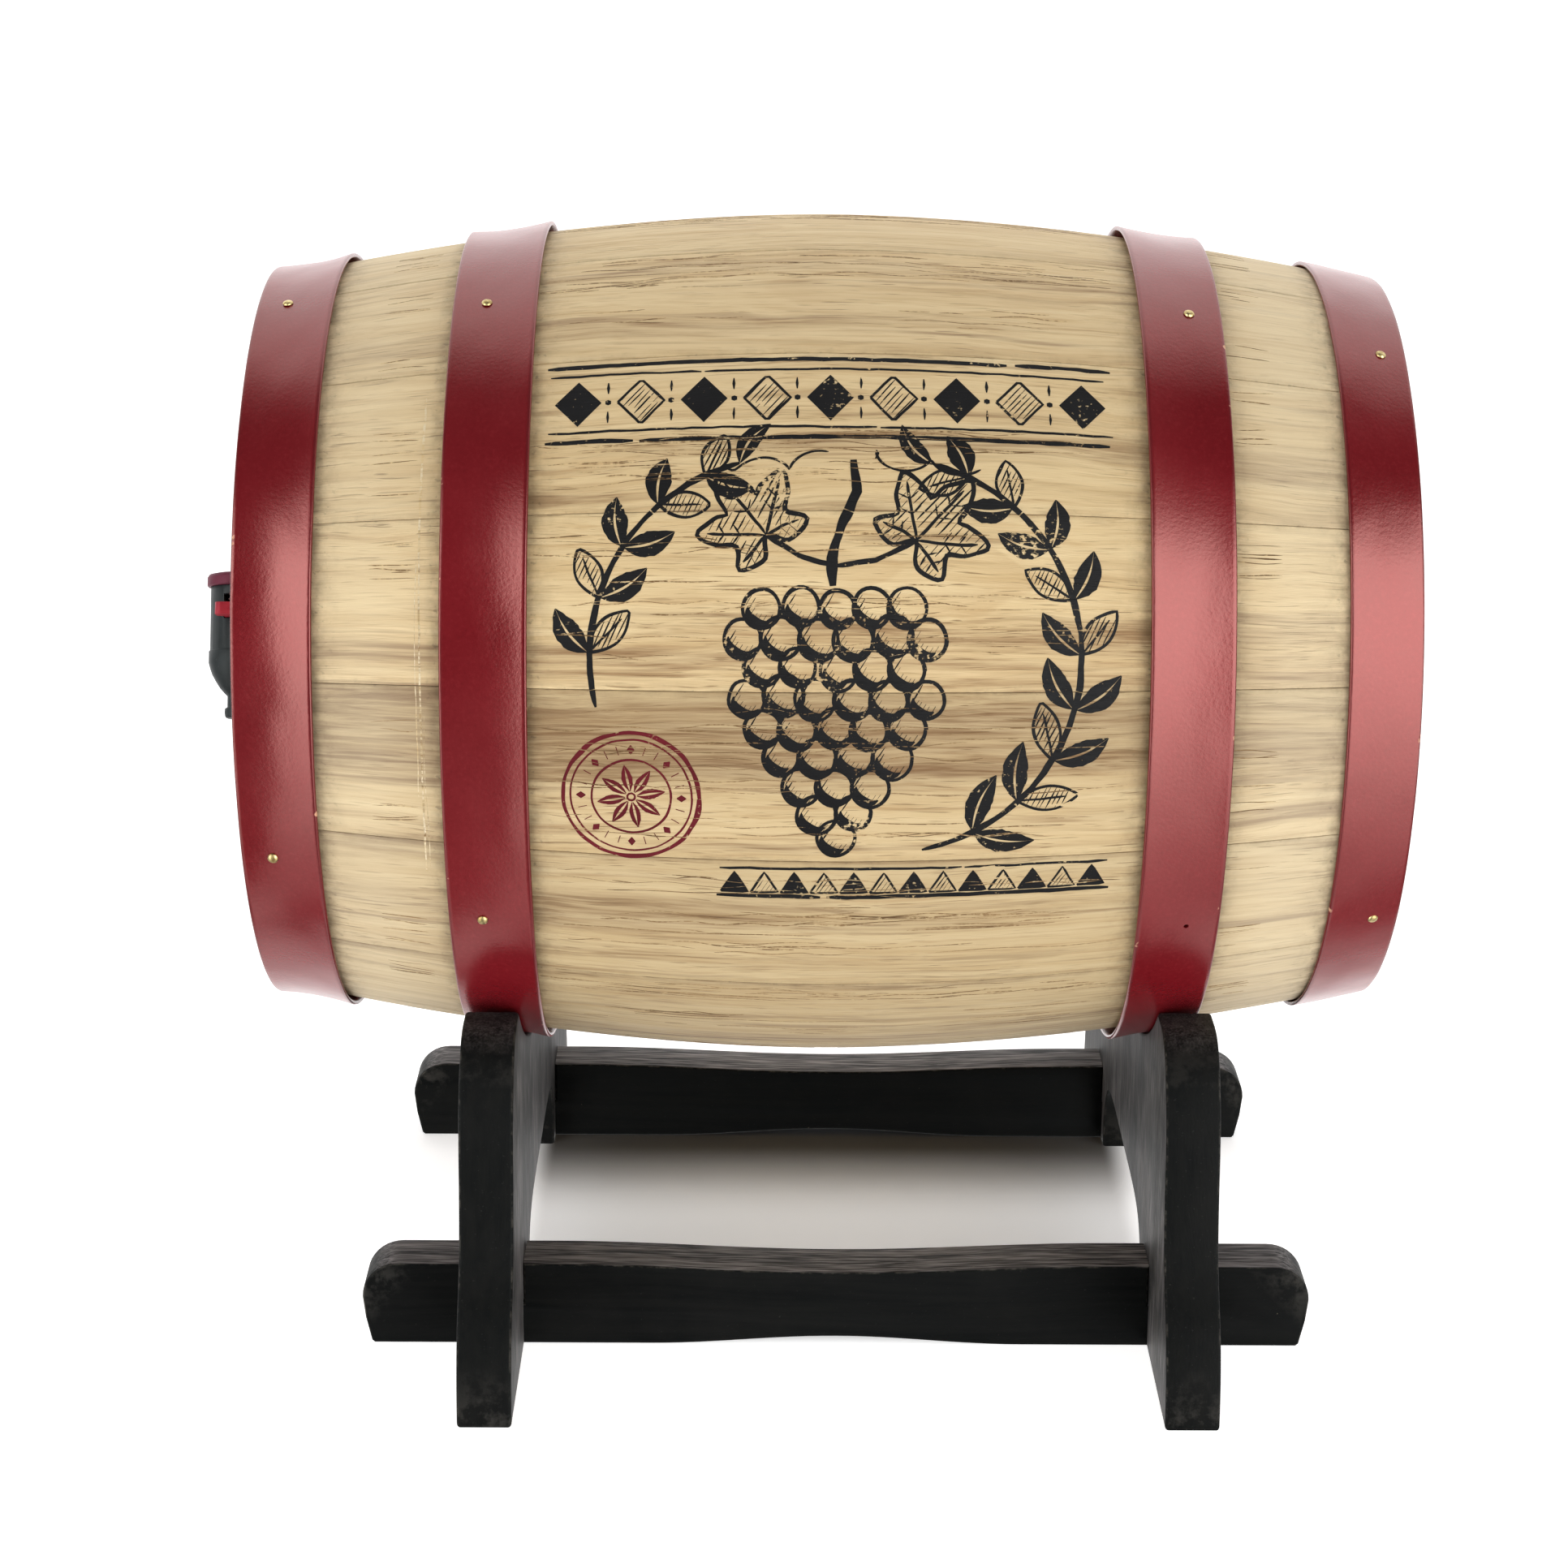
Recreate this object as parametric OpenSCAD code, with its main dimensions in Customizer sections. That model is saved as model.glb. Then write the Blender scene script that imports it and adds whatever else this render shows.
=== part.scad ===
// Small oak cask on a cradle stand, with a bag and a press tap in its front
// head and a hinged door in its rear head. The cask axis runs along X, the
// tap is at -X and the door at +X. Z = 0 is the floor under the stand, and
// X = 0, Y = 0 is the middle of the whole object.

/* [Cask] */
// Length of the cask over its chimes
cask_l = 355; // [345:1:365]
// Outer radius of the staves at the bilge
r_mid = 136.7; // [135.7:0.1:137.7]
// Outer radius of the staves at the chimes
r_end = 115.7; // [115:0.1:115.8]
// Thickness of a stave
stave_t = 12; // [10:0.5:14]
// Height of the cask axis above the floor
axis_z = 214; // [212:1:220]
// Angle of the first stave joint above the horizontal, on the -Y side
joint_phi = 8.2; // [0:0.1:22]

/* [Heads and door] */
// Inner radius of the land that carries the croze
land_r = 107; // [106.5:0.1:107]
// Thickness of the heads
head_t = 12; // [10:0.5:12]
// Distance from the chime plane to a head's outer face
head_recess = 12.5; // [12:0.5:14]
// Distance of the hinge line from the cask axis
hinge_y = -62; // [-66:1:-58]
// Clear gap around the door
door_gap = 1.8; // [1.5:0.1:2.5]

/* [Tap] */
// Radius of the tap's body
tap_r = 10; // [9.8:0.1:10.2]
// Distance of the tap's upright axis in front of the chime plane
tap_reach = 14.8; // [14:0.1:16]
// Travel of the tap lever
tap_travel = 3.5; // [3:0.1:3.8]
// Turn of the tap about its spout, with its top away from the print
tap_turn = 22; // [0:1:30]

/* [Stand] */
// Length of the rails
rail_l = 306; // [300:1:308]
// Height of the rails
rail_h = 28.3; // [26:0.1:30]
// Thickness of the rails
rail_t = 18.2; // [16:0.1:18.2]
// Distance of a rail's outer face from the middle
rail_y = 92; // [90:0.5:94]
// Thickness of the cradle boards
board_t = 17; // [15:0.5:18]
// Offset of the stand along the cask
stand_dx = 5; // [4:0.5:6]
// Distance from the stand's middle to the inner face of a cradle board
board_in = 101; // [100.5:0.5:102]

/* [Hidden] */
$fn = 96;
hl = cask_l / 2;
// the tap stands out in front, so the cask sits behind the middle of the box
cask_x = (tap_reach + 11.2) / 2;
n_stave = 16;
step = 360 / n_stave;
hoop_t = 1.4;
head_o = hl - head_recess;
head_i = head_o - head_t;
door_r = land_r - door_gap;
pin_x = head_o + 3;
tap_x = -hl - tap_reach;

oak = "burlywood";
black = [0.11, 0.11, 0.11];
maroon = [0.42, 0.06, 0.1];

// radius of the bulging stave surface at a distance from the middle
function bulge(x) = r_mid - (r_mid - r_end) * pow(abs(x) / hl, 1.8);

// moves a child from the cask's own frame (axis on X, middle at 0)
module in_cask() translate([cask_x, 0, axis_z]) children();
// moves a child from the tap's own frame (its stem on Z, its spout on X)
module in_tap() in_cask() translate([tap_x, 0, 0]) rotate([-tap_turn, 0, 0]) children();
// lays a turned shape, made upright, along X
module along_x() rotate([0, 90, 0]) children();
// places a child, whose +Z points outward, on the cask's skin; lean tips it along X
module on_skin(x, r, phi, lean = 0) rotate([-phi, 0, 0]) translate([x, -r, 0]) rotate([90, 0, 0]) rotate([0, lean, 0]) children();
// part of a ring about the cask axis, from angle phi over da degrees
module sweep_x(phi, da) along_x() rotate([0, 0, -90 - phi - da]) rotate_extrude(angle = da) children();

// ---- staves -------------------------------------------------------------
function outer_pts() = [for (i = [0 : 14]) let (x = -hl + i * cask_l / 14) [bulge(x), x]];
function inner_half() = [
  [land_r + 3.5, hl], [land_r, hl - 10.5], [land_r, head_o - 3.5], [land_r + 3.5, head_o - 3.5],
  [land_r + 3.5, head_o - 8.5], [land_r, head_o - 8.5], [land_r, head_i - 13],
  [bulge(128) - stave_t, 128], [bulge(100) - stave_t, 100], [bulge(66) - stave_t, 66],
  [bulge(33) - stave_t, 33]];
function inner_pts() = concat(inner_half(), [[r_mid - stave_t, 0]],
  [for (i = [len(inner_half()) - 1 : -1 : 0]) let (p = inner_half()[i]) [p[0], -p[1]]]);

module stave(k) color(oak) in_cask() {
  difference() {
    sweep_x(joint_phi + (k - 1) * step + 0.03, step - 0.06)
      polygon(concat(outer_pts(), inner_pts()));
    // the hole left by a lost nail
    if (k == 15) on_skin(109.7, bulge(109.7), -27.2, 6) translate([0, 0, -6]) cylinder(h = 12, r = 0.9);
  }
}

// ---- hoops --------------------------------------------------------------
// a flared band: radius and place of its inner edge, its middle and its outer
// edge, then the angles of its nails and their place along the cask
hoops = [
  [[123.6, -152.8], [120.3, -165], [119, -177.2], [73.1, -19.5, 160, 251], -167.5],
  [[133.9, -88.5], [131.3, -101.5], [130.4, -114.4], [65.2, -26.3, 155, 214], -104],
  [[133.5, 94.4], [130.9, 107], [129.7, 119.8], [63.7, -27.2, 153, 214], 109.7],
  [[122.4, 154.4], [119.9, 166], [117.3, 177.2], [61.6, -31.5, 149, 241], 169]];
lap_phi = [182, 191];
function band_r(h, x) = let (a = h[0], b = h[1], c = h[2])
  abs(x) < abs(b[1]) ? a[0] + (b[0] - a[0]) * (x - a[1]) / (b[1] - a[1])
                     : b[0] + (c[0] - b[0]) * (x - b[1]) / (c[1] - b[1]);
// how far a fastener in the band's outer half leans, so that it stands square
function band_lean(h) = -atan((h[2][0] - h[1][0]) / (h[2][1] - h[1][1]));
function lap_x(h) = (h[1][1] + h[2][1]) / 2;
module band_profile(h, lift) polygon([
  [h[0][0] + lift, h[0][1]], [h[1][0] + lift, h[1][1]], [h[2][0] + lift, h[2][1]],
  [h[2][0] + lift - hoop_t, h[2][1]], [h[1][0] + lift - hoop_t, h[1][1]], [h[0][0] + lift - hoop_t, h[0][1]]]);
module hoop(h) color(maroon) in_cask() difference() {
  union() {
    along_x() rotate_extrude() band_profile(h, 0);
    // the overlapping end of the band, on the side away from the print
    sweep_x(178, 17) band_profile(h, hoop_t);
  }
  for (p = h[3]) on_skin(h[4], band_r(h, h[4]), p, band_lean(h)) translate([0, 0, -6]) cylinder(h = 12, r = 0.76);
  for (p = lap_phi) on_skin(lap_x(h), band_r(h, lap_x(h)), p, band_lean(h)) translate([0, 0, -6]) cylinder(h = 12, r = 1.6);
}
module nail() {
  translate([0, 0, -9]) cylinder(h = 9, r = 0.7);
  cylinder(h = 0.45, r = 1.75);
  translate([0, 0, 0.45]) cylinder(h = 0.5, r1 = 1.75, r2 = 0.9);
}
module hoop_nails() color("goldenrod") in_cask()
  for (j = [0 : 3]) for (i = [0 : 3]) if (!(j == 2 && i == 1))
    on_skin(hoops[j][4], band_r(hoops[j], hoops[j][4]) + 0.05, hoops[j][3][i], band_lean(hoops[j])) nail();
module hoop_rivets() color(maroon) in_cask()
  for (h = hoops) for (p = lap_phi)
    on_skin(lap_x(h), band_r(h, lap_x(h)), p, band_lean(h)) translate([0, 0, hoop_t + 0.05]) {
      translate([0, 0, -2 * hoop_t - 0.1]) cylinder(h = 2 * hoop_t + 0.1, r = 1.54);
      cylinder(h = 0.5, r = 2.6);
      translate([0, 0, 0.5]) cylinder(h = 0.7, r1 = 2.6, r2 = 1.4);
    }

// ---- front head ---------------------------------------------------------
// a head disc with the tongue that sits in the croze; s is -1 front, 1 rear
module head_disc(s) along_x() rotate_extrude() polygon([
  [0, s * head_i], [land_r - 0.3, s * head_i], [land_r - 0.3, s * (head_o - 8.2)],
  [land_r + 3.2, s * (head_o - 8.2)], [land_r + 3.2, s * (head_o - 3.8)],
  [land_r - 0.3, s * (head_o - 3.8)], [land_r - 0.3, s * head_o], [0, s * head_o]]);
module slab(y0, y1) translate([-250, y0, -150]) cube([500, y1 - y0, 300]);
module dowel_set(r, e) for (y = [-36, 36]) for (z = [-46, 46])
  translate([-head_o + head_t / 2, y, z]) rotate([90, 0, 0]) cylinder(h = 26 + e, r = r, center = true);
module head_board(y0, y1) color(oak) in_cask() difference() {
  intersection() { head_disc(-1); slab(y0, y1); }
  along_x() translate([0, 0, -200]) cylinder(h = 100, r = 14);
  dowel_set(2.53, 1);
}
module front_head_left() head_board(-120, -36.05);
module front_head_middle() head_board(-35.95, 35.95);
module front_head_right() head_board(36.05, 120);
module front_head_dowels() color(oak) in_cask() dowel_set(2.5, 0);

// ---- rear head: fixed part, door and its fittings -----------------------
module rear_head_segment() color(oak) in_cask() intersection() {
  head_disc(1);
  slab(-120, hinge_y - 1);
}
module door_stop_blocks() color(oak) in_cask() difference() {
  union() for (p = [173, 210, 136]) sweep_x(p, 14)
    translate([93, head_i - 11]) square([land_r - 93, 10.8]);
  translate([head_i - 8, 99, 0]) along_x() cylinder(h = 20, r = 4.05);
}
module door_board(y0, y1) color(oak) in_cask() difference() {
  intersection() {
    translate([head_i, 0, 0]) along_x() cylinder(h = head_t, r = door_r);
    slab(y0, y1);
  }
  translate([head_i - 1, 99, 0]) along_x() cylinder(h = 2.3, r = 5.05);
}
module door_board_hinge() door_board(hinge_y + 1, -5.05);
module door_board_middle() door_board(-4.95, 49.95);
module door_board_knob() door_board(50.05, 120);
module door_batten(z) color(oak) in_cask()
  translate([head_i - 9, hinge_y + 12, z - 9]) cube([9, 120, 18]);
module door_batten_screws() color("silver") in_cask()
  for (z = [-46, 46]) for (y = [-34, 20, 58]) translate([head_i - 9.02, y, z]) along_x() {
    cylinder(h = 1.9, r1 = 3, r2 = 1.2);
    cylinder(h = 17, r = 1.2);
  }
hinge_z = [50, -50];
module leaf_screw_holes(y, e) for (z = [-9, 9])
  translate([head_o - 8 - e, y, z]) along_x() {
    cylinder(h = 9.2 + 2 * e, r = 1.2 + e);
    translate([0, 0, 8.05 + e]) cylinder(h = 1.15 + e, r1 = 1.25 + e, r2 = 2.4 + 1.2 * e);
  }
module frame_leaf(z0) color("darkgoldenrod") in_cask() translate([0, 0, z0]) difference() {
  union() {
    translate([head_o, hinge_y - 16, -14]) cube([1.2, 16, 28]);
    for (z = [-14, 5]) translate([pin_x, hinge_y, z]) cylinder(h = 9, r = 2.5);
    for (z = [-14, 5]) translate([head_o, hinge_y - 2.4, z]) cube([3, 2.4, 9]);
  }
  translate([head_o - 1, hinge_y - 3, -5]) cube([10, 10, 10]);
  translate([pin_x, hinge_y, -20]) cylinder(h = 40, r = 1.22);
  leaf_screw_holes(hinge_y - 9.5, 0.04);
}
module door_leaf(z0) color("darkgoldenrod") in_cask() translate([0, 0, z0]) difference() {
  union() {
    translate([head_o + 0.01, hinge_y, -14]) cube([1.2, 16, 28]);
    translate([pin_x, hinge_y, -4.8]) cylinder(h = 9.6, r = 2.5);
    translate([head_o + 0.01, hinge_y, -4.8]) cube([3, 2.4, 9.6]);
  }
  for (s = [-1, 1]) translate([head_o - 1, hinge_y - 10, s > 0 ? 4.8 : -20]) cube([10, 13, 15.2]);
  translate([pin_x, hinge_y, -20]) cylinder(h = 40, r = 1.25);
  leaf_screw_holes(hinge_y + 9.5, 0.04);
}
module hinge_pins() color("goldenrod") in_cask() for (z = hinge_z) translate([pin_x, hinge_y, z]) {
  translate([0, 0, -14]) cylinder(h = 28.1, r = 1.2);
  translate([0, 0, 14.05]) cylinder(h = 1, r = 2);
}
module hinge_frame_screws() color("goldenrod") in_cask()
  for (z = hinge_z) translate([0, 0, z]) leaf_screw_holes(hinge_y - 9.5, 0);
module hinge_door_screws() color("goldenrod") in_cask()
  for (z = hinge_z) translate([0.01, 0, z]) leaf_screw_holes(hinge_y + 9.5, 0);
module catch_magnet() color("dimgray") in_cask()
  translate([head_i - 7.95, 99, 0]) along_x() cylinder(h = 7.7, r = 4);
module catch_striker() color("silver") in_cask()
  translate([head_i, 99, 0]) along_x() cylinder(h = 1.28, r = 5);
module door_knob() color("goldenrod") in_cask() translate([head_o, 78, 0]) along_x() rotate_extrude()
  polygon([[0, 0], [5.5, 0], [5.5, 1.2], [3.2, 2.4], [3.2, 5], [5.6, 6.4], [7, 8.2], [6.6, 10], [4.4, 11.4], [0, 12]]);

// ---- tap and bag --------------------------------------------------------
module tap_solid() {
  rotate_extrude() polygon([[0, 16], [8.4, 16], [8.4, 14], [tap_r, 14], [tap_r, -7.2],
    [10.4, -7.2], [10.4, -11.1], [9.9, -13], [9.2, -15], [8, -17.2], [6.6, -19.4], [5.2, -21], [4.1, -22.1],
    [4.1, -25.7], [4.9, -26.2], [5, -27.5], [4.7, -29], [4.1, -29.4], [0, -29.4]]);
  along_x() cylinder(h = -tap_x - head_i, r = 8);
  translate([19.8, 0, 0]) along_x() cylinder(h = 2.4, r = 13);
}
module tap_body() color([0.2, 0.22, 0.23]) in_tap() difference() {
  tap_solid();
  translate([0, 0, -9]) cylinder(h = 30, r = 7.4);
  translate([0, 0, -31]) cylinder(h = 30, r = 2.6);
  along_x() cylinder(h = 60, r = 5.5);
  translate([-4.3, -12, 3]) cube([8.6, 24, 4.5 + tap_travel]);
}
module tap_cap() color([0.45, 0.16, 0.24]) in_tap() rotate_extrude()
  polygon([[0, 17.2], [6.4, 17.2], [6.4, 16.05], [8.45, 16.05], [8.45, 14.02], [10.8, 14.02],
    [11.2, 14.4], [11.2, 17.1], [10.6, 18], [8.5, 18.5], [0, 18.5]]);
module lever_wing(s) translate([0, s * 14.9, 3.3]) {
  translate([-6, -1.6, 0]) cube([12, 3.2, 3.9]);
  translate([-3.8, -3.8, 0]) cube([7.6, 7.6, 3.9]);
  for (x = [-3.8, 3.8]) for (y = [-1.6, 1.6]) translate([x, y, 0]) cylinder(h = 3.9, r = 2.2);
}
module tap_lever() color([0.75, 0.15, 0.2]) in_tap() difference() {
  union() {
    translate([0, 0, 3.3]) cylinder(h = 3.9, r = 6.6);
    translate([-4, -13, 3.3]) cube([8, 26, 3.9]);
    lever_wing(-1);
    lever_wing(1);
  }
  cylinder(h = 20, r = 2.2);
}
module tap_stem() color([0.75, 0.15, 0.2]) in_tap() translate([0, 0, -5.9]) cylinder(h = 18.4, r = 2.18);
module tap_valve() color([0.15, 0.15, 0.15]) in_tap() translate([0, 0, -8.9]) cylinder(h = 3, r = 6.5);
// a coil spring swept along its own helix
spring_n = 72;
spring_turns = 4.5;
function coil(i, a) = let (t = 360 * spring_turns * i / spring_n, rr = 4.3 + 0.45 * cos(a))
  [rr * cos(t), rr * sin(t), 7.75 + 8.95 * i / spring_n + 0.45 * sin(a)];
module tap_spring() color("silver") in_tap() polyhedron(
  points = [for (i = [0 : spring_n]) for (j = [0 : 7]) coil(i, 45 * j)],
  faces = concat(
    [for (i = [0 : spring_n - 1]) for (j = [0 : 7])
      let (a = 8 * i + j, b = 8 * i + (j + 1) % 8) [a, a + 8, b + 8, b]],
    [[for (j = [0 : 7]) j], [for (j = [7 : -1 : 0]) 8 * spring_n + j]]));
module tap_gasket() color([0.2, 0.2, 0.2]) in_cask() translate([tap_x + 22.25, 0, 0]) along_x()
  difference() { cylinder(h = 1.5, r = 12.5); translate([0, 0, -1]) cylinder(h = 4, r = 8.05); }
module bag_spout() color("whitesmoke") in_cask() along_x() difference() {
  union() {
    translate([0, 0, tap_x + 23.8]) cylinder(h = -tap_x - 23.8 - head_i, r = 13.8);
    translate([0, 0, -head_i]) cylinder(h = 2.5, r = 20);
  }
  translate([0, 0, -300]) cylinder(h = 300, r = 8.06);
}
module spout_clip() color("whitesmoke") in_cask() along_x() difference() {
  translate([0, 0, -head_o - 2.6]) cylinder(h = 2.6, r = 19);
  translate([0, 0, -300]) cylinder(h = 300, r = 13.85);
}
// the filled bag: it lies in the lower half of the cask and rises to the spout
module wine_bag() color([0.75, 0.76, 0.78]) in_cask() difference() {
  union() {
    intersection() {
      along_x() rotate_extrude() polygon([[0, -136], [96, -136], [104, -130],
        [bulge(100) - stave_t - 2.5, -100], [bulge(50) - stave_t - 2.5, -50], [r_mid - stave_t - 2.5, 0],
        [bulge(50) - stave_t - 2.5, 50], [bulge(100) - stave_t - 2.5, 100], [104, 130], [96, 136], [0, 136]]);
      translate([-150, -130, -140]) cube([300, 260, 102]);
    }
    translate([-94, 0, -20]) sphere(r = 50);
    translate([-head_i + 2.5, 0, 0]) along_x() cylinder(h = 42, r1 = 18, r2 = 36);
  }
}

// ---- stand --------------------------------------------------------------
// half outline of a cradle board, from the foot up to the tip of the horn
horn = [[148, 0], [147.6, 6], [146, 15], [143, 24], [138.5, 32], [132.5, 40], [128, 48], [125, 58], [122.6, 70],
  [121.2, 80], [119, 89], [115.7, 97], [111.3, 104.2], [106.3, 109.4], [100.6, 112.5], [94.5, 113.4], [60, 113.4]];
arch = [[66, -1], [65.2, 10], [62, 19], [56, 25.5], [46, 29], [30, 30.3]];
function mir(p) = [for (i = [len(p) - 1 : -1 : 0]) [-p[i][0], p[i][1]]];
module cradle_board(x0, r) color(black) translate([cask_x + stand_dx, 0, 0]) difference() {
  translate([x0, 0, 0]) rotate([90, 0, 90]) linear_extrude(height = board_t)
    difference() {
      polygon(concat(horn, mir(horn)));
      polygon(concat(arch, mir(arch)));
    }
  translate([x0 - 1, 0, axis_z]) along_x() cylinder(h = board_t + 2, r = r);
  for (s = [-1, 1]) translate([x0 - 1, s * (rail_y - rail_t / 2) - rail_t / 2 - 0.15, -1])
    cube([board_t + 2, rail_t + 0.3, rail_h / 2 + 1.1]);
}
module cradle_board_front() cradle_board(-board_in - board_t, 132.8);
module cradle_board_rear() cradle_board(board_in, 131.6);
// a rail, dished a little along its top and arched under its middle
function rail_top() = [for (i = [0 : 16]) let (x = 90 - i * 11.25) [x, rail_h - 1.3 * (1 + cos(2 * x))]];
function rail_low() = [for (i = [0 : 12]) let (x = -60 + i * 10) [x, 1.4 * (1 + cos(3 * x))]];
function corner(s) = [for (i = [0 : 6]) let (a = s > 0 ? i * 15 : 90 - i * 15)
  [s * (rail_l / 2 - 12 + 12 * cos(a)), rail_h - 12 + 12 * sin(a)]];
module rail(s) color(black) translate([cask_x + stand_dx, 0, 0]) difference() {
  translate([0, s * (rail_y - rail_t / 2) + rail_t / 2, 0]) rotate([90, 0, 0]) linear_extrude(height = rail_t)
    polygon(concat(rail_low(), [[rail_l / 2 - 3.5, 0], [rail_l / 2 - 2.6, 0.8]], corner(1), rail_top(), corner(-1),
      [[-rail_l / 2 + 2.6, 0.8], [-rail_l / 2 + 3.5, 0]]));
  for (d = [-1, 1]) {
    translate([d * (board_in + board_t / 2) - board_t / 2 - 0.15, s * rail_y - 50, rail_h / 2])
      cube([board_t + 0.3, 100, rail_h]);
    translate([d * (board_in + board_t / 2), s * (rail_y - rail_t / 2), -1]) {
      cylinder(h = 40, r = 2.1);
      cylinder(h = 4.5, r = 4.2);
    }
  }
}
module rail_near() rail(-1);
module rail_far() rail(1);
module stand_screws() color("silver") translate([cask_x + stand_dx, 0, 0])
  for (d = [-1, 1]) for (s = [-1, 1]) translate([d * (board_in + board_t / 2), s * (rail_y - rail_t / 2), 1.3]) {
    cylinder(h = 2.2, r = 4);
    translate([0, 0, 2.2]) cylinder(h = 36, r = 2);
  }

stave(1);  // stave_01
stave(2);  // stave_02
stave(3);  // stave_03
stave(4);  // stave_04
stave(5);  // stave_05
stave(6);  // stave_06
stave(7);  // stave_07
stave(8);  // stave_08
stave(9);  // stave_09
stave(10);  // stave_10
stave(11);  // stave_11
stave(12);  // stave_12
stave(13);  // stave_13
stave(14);  // stave_14
stave(15);  // stave_15
stave(16);  // stave_16
hoop(hoops[0]);  // hoop_front_end
hoop(hoops[1]);  // hoop_front_bilge
hoop(hoops[2]);  // hoop_rear_bilge
hoop(hoops[3]);  // hoop_rear_end
hoop_nails();
hoop_rivets();
front_head_left();
front_head_middle();
front_head_right();
front_head_dowels();
rear_head_segment();
door_stop_blocks();
door_board_hinge();
door_board_middle();
door_board_knob();
door_batten(46);  // door_batten_upper
door_batten(-46);  // door_batten_lower
door_batten_screws();
frame_leaf(hinge_z[0]);  // hinge_upper_frame_leaf
frame_leaf(hinge_z[1]);  // hinge_lower_frame_leaf
door_leaf(hinge_z[0]);  // hinge_upper_door_leaf
door_leaf(hinge_z[1]);  // hinge_lower_door_leaf
hinge_pins();
hinge_frame_screws();
hinge_door_screws();
catch_magnet();
catch_striker();
door_knob();
tap_body();
tap_cap();
tap_lever();
tap_stem();
tap_valve();
tap_spring();
tap_gasket();
bag_spout();
spout_clip();
wine_bag();
cradle_board_front();
cradle_board_rear();
rail_near();
rail_far();
stand_screws();
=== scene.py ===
import bpy
import bmesh
import math
import random
import numpy as np
from mathutils import Vector, Matrix, noise as mn


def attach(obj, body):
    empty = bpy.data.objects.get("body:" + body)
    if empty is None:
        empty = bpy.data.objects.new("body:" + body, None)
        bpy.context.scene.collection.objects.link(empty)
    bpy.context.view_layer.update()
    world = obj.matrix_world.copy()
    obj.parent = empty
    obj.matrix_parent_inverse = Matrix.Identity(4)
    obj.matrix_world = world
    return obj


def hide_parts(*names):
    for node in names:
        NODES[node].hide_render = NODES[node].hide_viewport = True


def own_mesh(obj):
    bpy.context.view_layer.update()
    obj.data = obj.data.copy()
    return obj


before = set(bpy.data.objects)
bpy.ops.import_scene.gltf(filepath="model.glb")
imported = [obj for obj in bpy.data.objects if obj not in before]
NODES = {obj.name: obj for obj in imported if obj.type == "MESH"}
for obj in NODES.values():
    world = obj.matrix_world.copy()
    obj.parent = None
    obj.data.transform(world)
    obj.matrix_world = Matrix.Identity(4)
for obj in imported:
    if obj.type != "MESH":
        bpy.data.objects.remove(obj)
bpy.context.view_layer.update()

MM = 0.001
CX, AZ = 13.0, 214.0          # the cask's middle in the row frame, mm
HL, RM, RE, TH = 177.5, 136.7, 115.7, 12.0
JOINT, STEP = 8.2, 22.5
LAND = 107.0
HEAD_O, HEAD_I = 165.0, 153.0
TAPX = -192.3
HOOPS = [
    ("hoop_front_end", [(123.6, -152.8), (120.3, -165.0), (119.0, -177.2)], [73.1, -19.5, 160, 251], -167.5),
    ("hoop_front_bilge", [(133.9, -88.5), (131.3, -101.5), (130.4, -114.4)], [65.2, -26.3, 155, 214], -104.0),
    ("hoop_rear_bilge", [(133.5, 94.4), (130.9, 107.0), (129.7, 119.8)], [63.7, -27.2, 153, 214], 109.7),
    ("hoop_rear_end", [(122.4, 154.4), (119.9, 166.0), (117.3, 177.2)], [61.6, -31.5, 149, 241], 169.0),
]
HT = 1.4
rad = math.radians


# ---------------------------------------------------------------- camera
def make_camera():
    y, p, r = rad(0.2), rad(-18.07), rad(0.34)
    f = Vector((math.sin(y) * math.cos(p), math.cos(y) * math.cos(p), math.sin(p)))
    rr = Vector((math.cos(y), -math.sin(y), 0.0))
    uu = rr.cross(f)
    r2 = math.cos(r) * rr + math.sin(r) * uu
    u2 = -math.sin(r) * rr + math.cos(r) * uu
    data = bpy.data.cameras.new("camera")
    data.sensor_width = 36.0
    data.sensor_fit = "HORIZONTAL"
    data.lens = 36.0 * 4213.64 / 1932.0
    data.clip_start, data.clip_end = 0.05, 60.0
    cam = bpy.data.objects.new("camera", data)
    m = Matrix.Identity(4)
    for i in range(3):
        m[i][0], m[i][1], m[i][2] = r2[i], u2[i], -f[i]
    m.translation = Vector((-0.00326, -1.09117, 0.5174))
    cam.matrix_world = m
    bpy.context.scene.collection.objects.link(cam)
    bpy.context.scene.camera = cam


make_camera()
bpy.context.scene.view_settings.view_transform = "Standard"
bpy.context.scene.view_settings.look = "None"


# ---------------------------------------------------------------- small maths
def bulge(x):
    return RM - (RM - RE) * (abs(x) / HL) ** 1.8


def to_row(x, r, phi):
    """A point on a circle about the cask axis; phi is degrees above the horizontal on the -Y side."""
    a = rad(phi)
    return (x + CX, -r * math.cos(a), r * math.sin(a) + AZ)


def lin(c):
    out = []
    for v in c:
        v /= 255.0
        out.append(v / 12.92 if v <= 0.04045 else ((v + 0.055) / 1.055) ** 2.4)
    return (out[0], out[1], out[2], 1.0)


def nz(x, y, z):
    return mn.noise(Vector((x, y, z)))


def stave_of(phi):
    return int(math.floor(((phi - JOINT) % 360.0) / STEP)) + 1


def stave_wave(k, x, phi):
    """How far a stave's hand-planed face stands off the true curve, in mm."""
    return 0.07 * nz(x / 55.0, phi / 9.0, k * 7.7)


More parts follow.
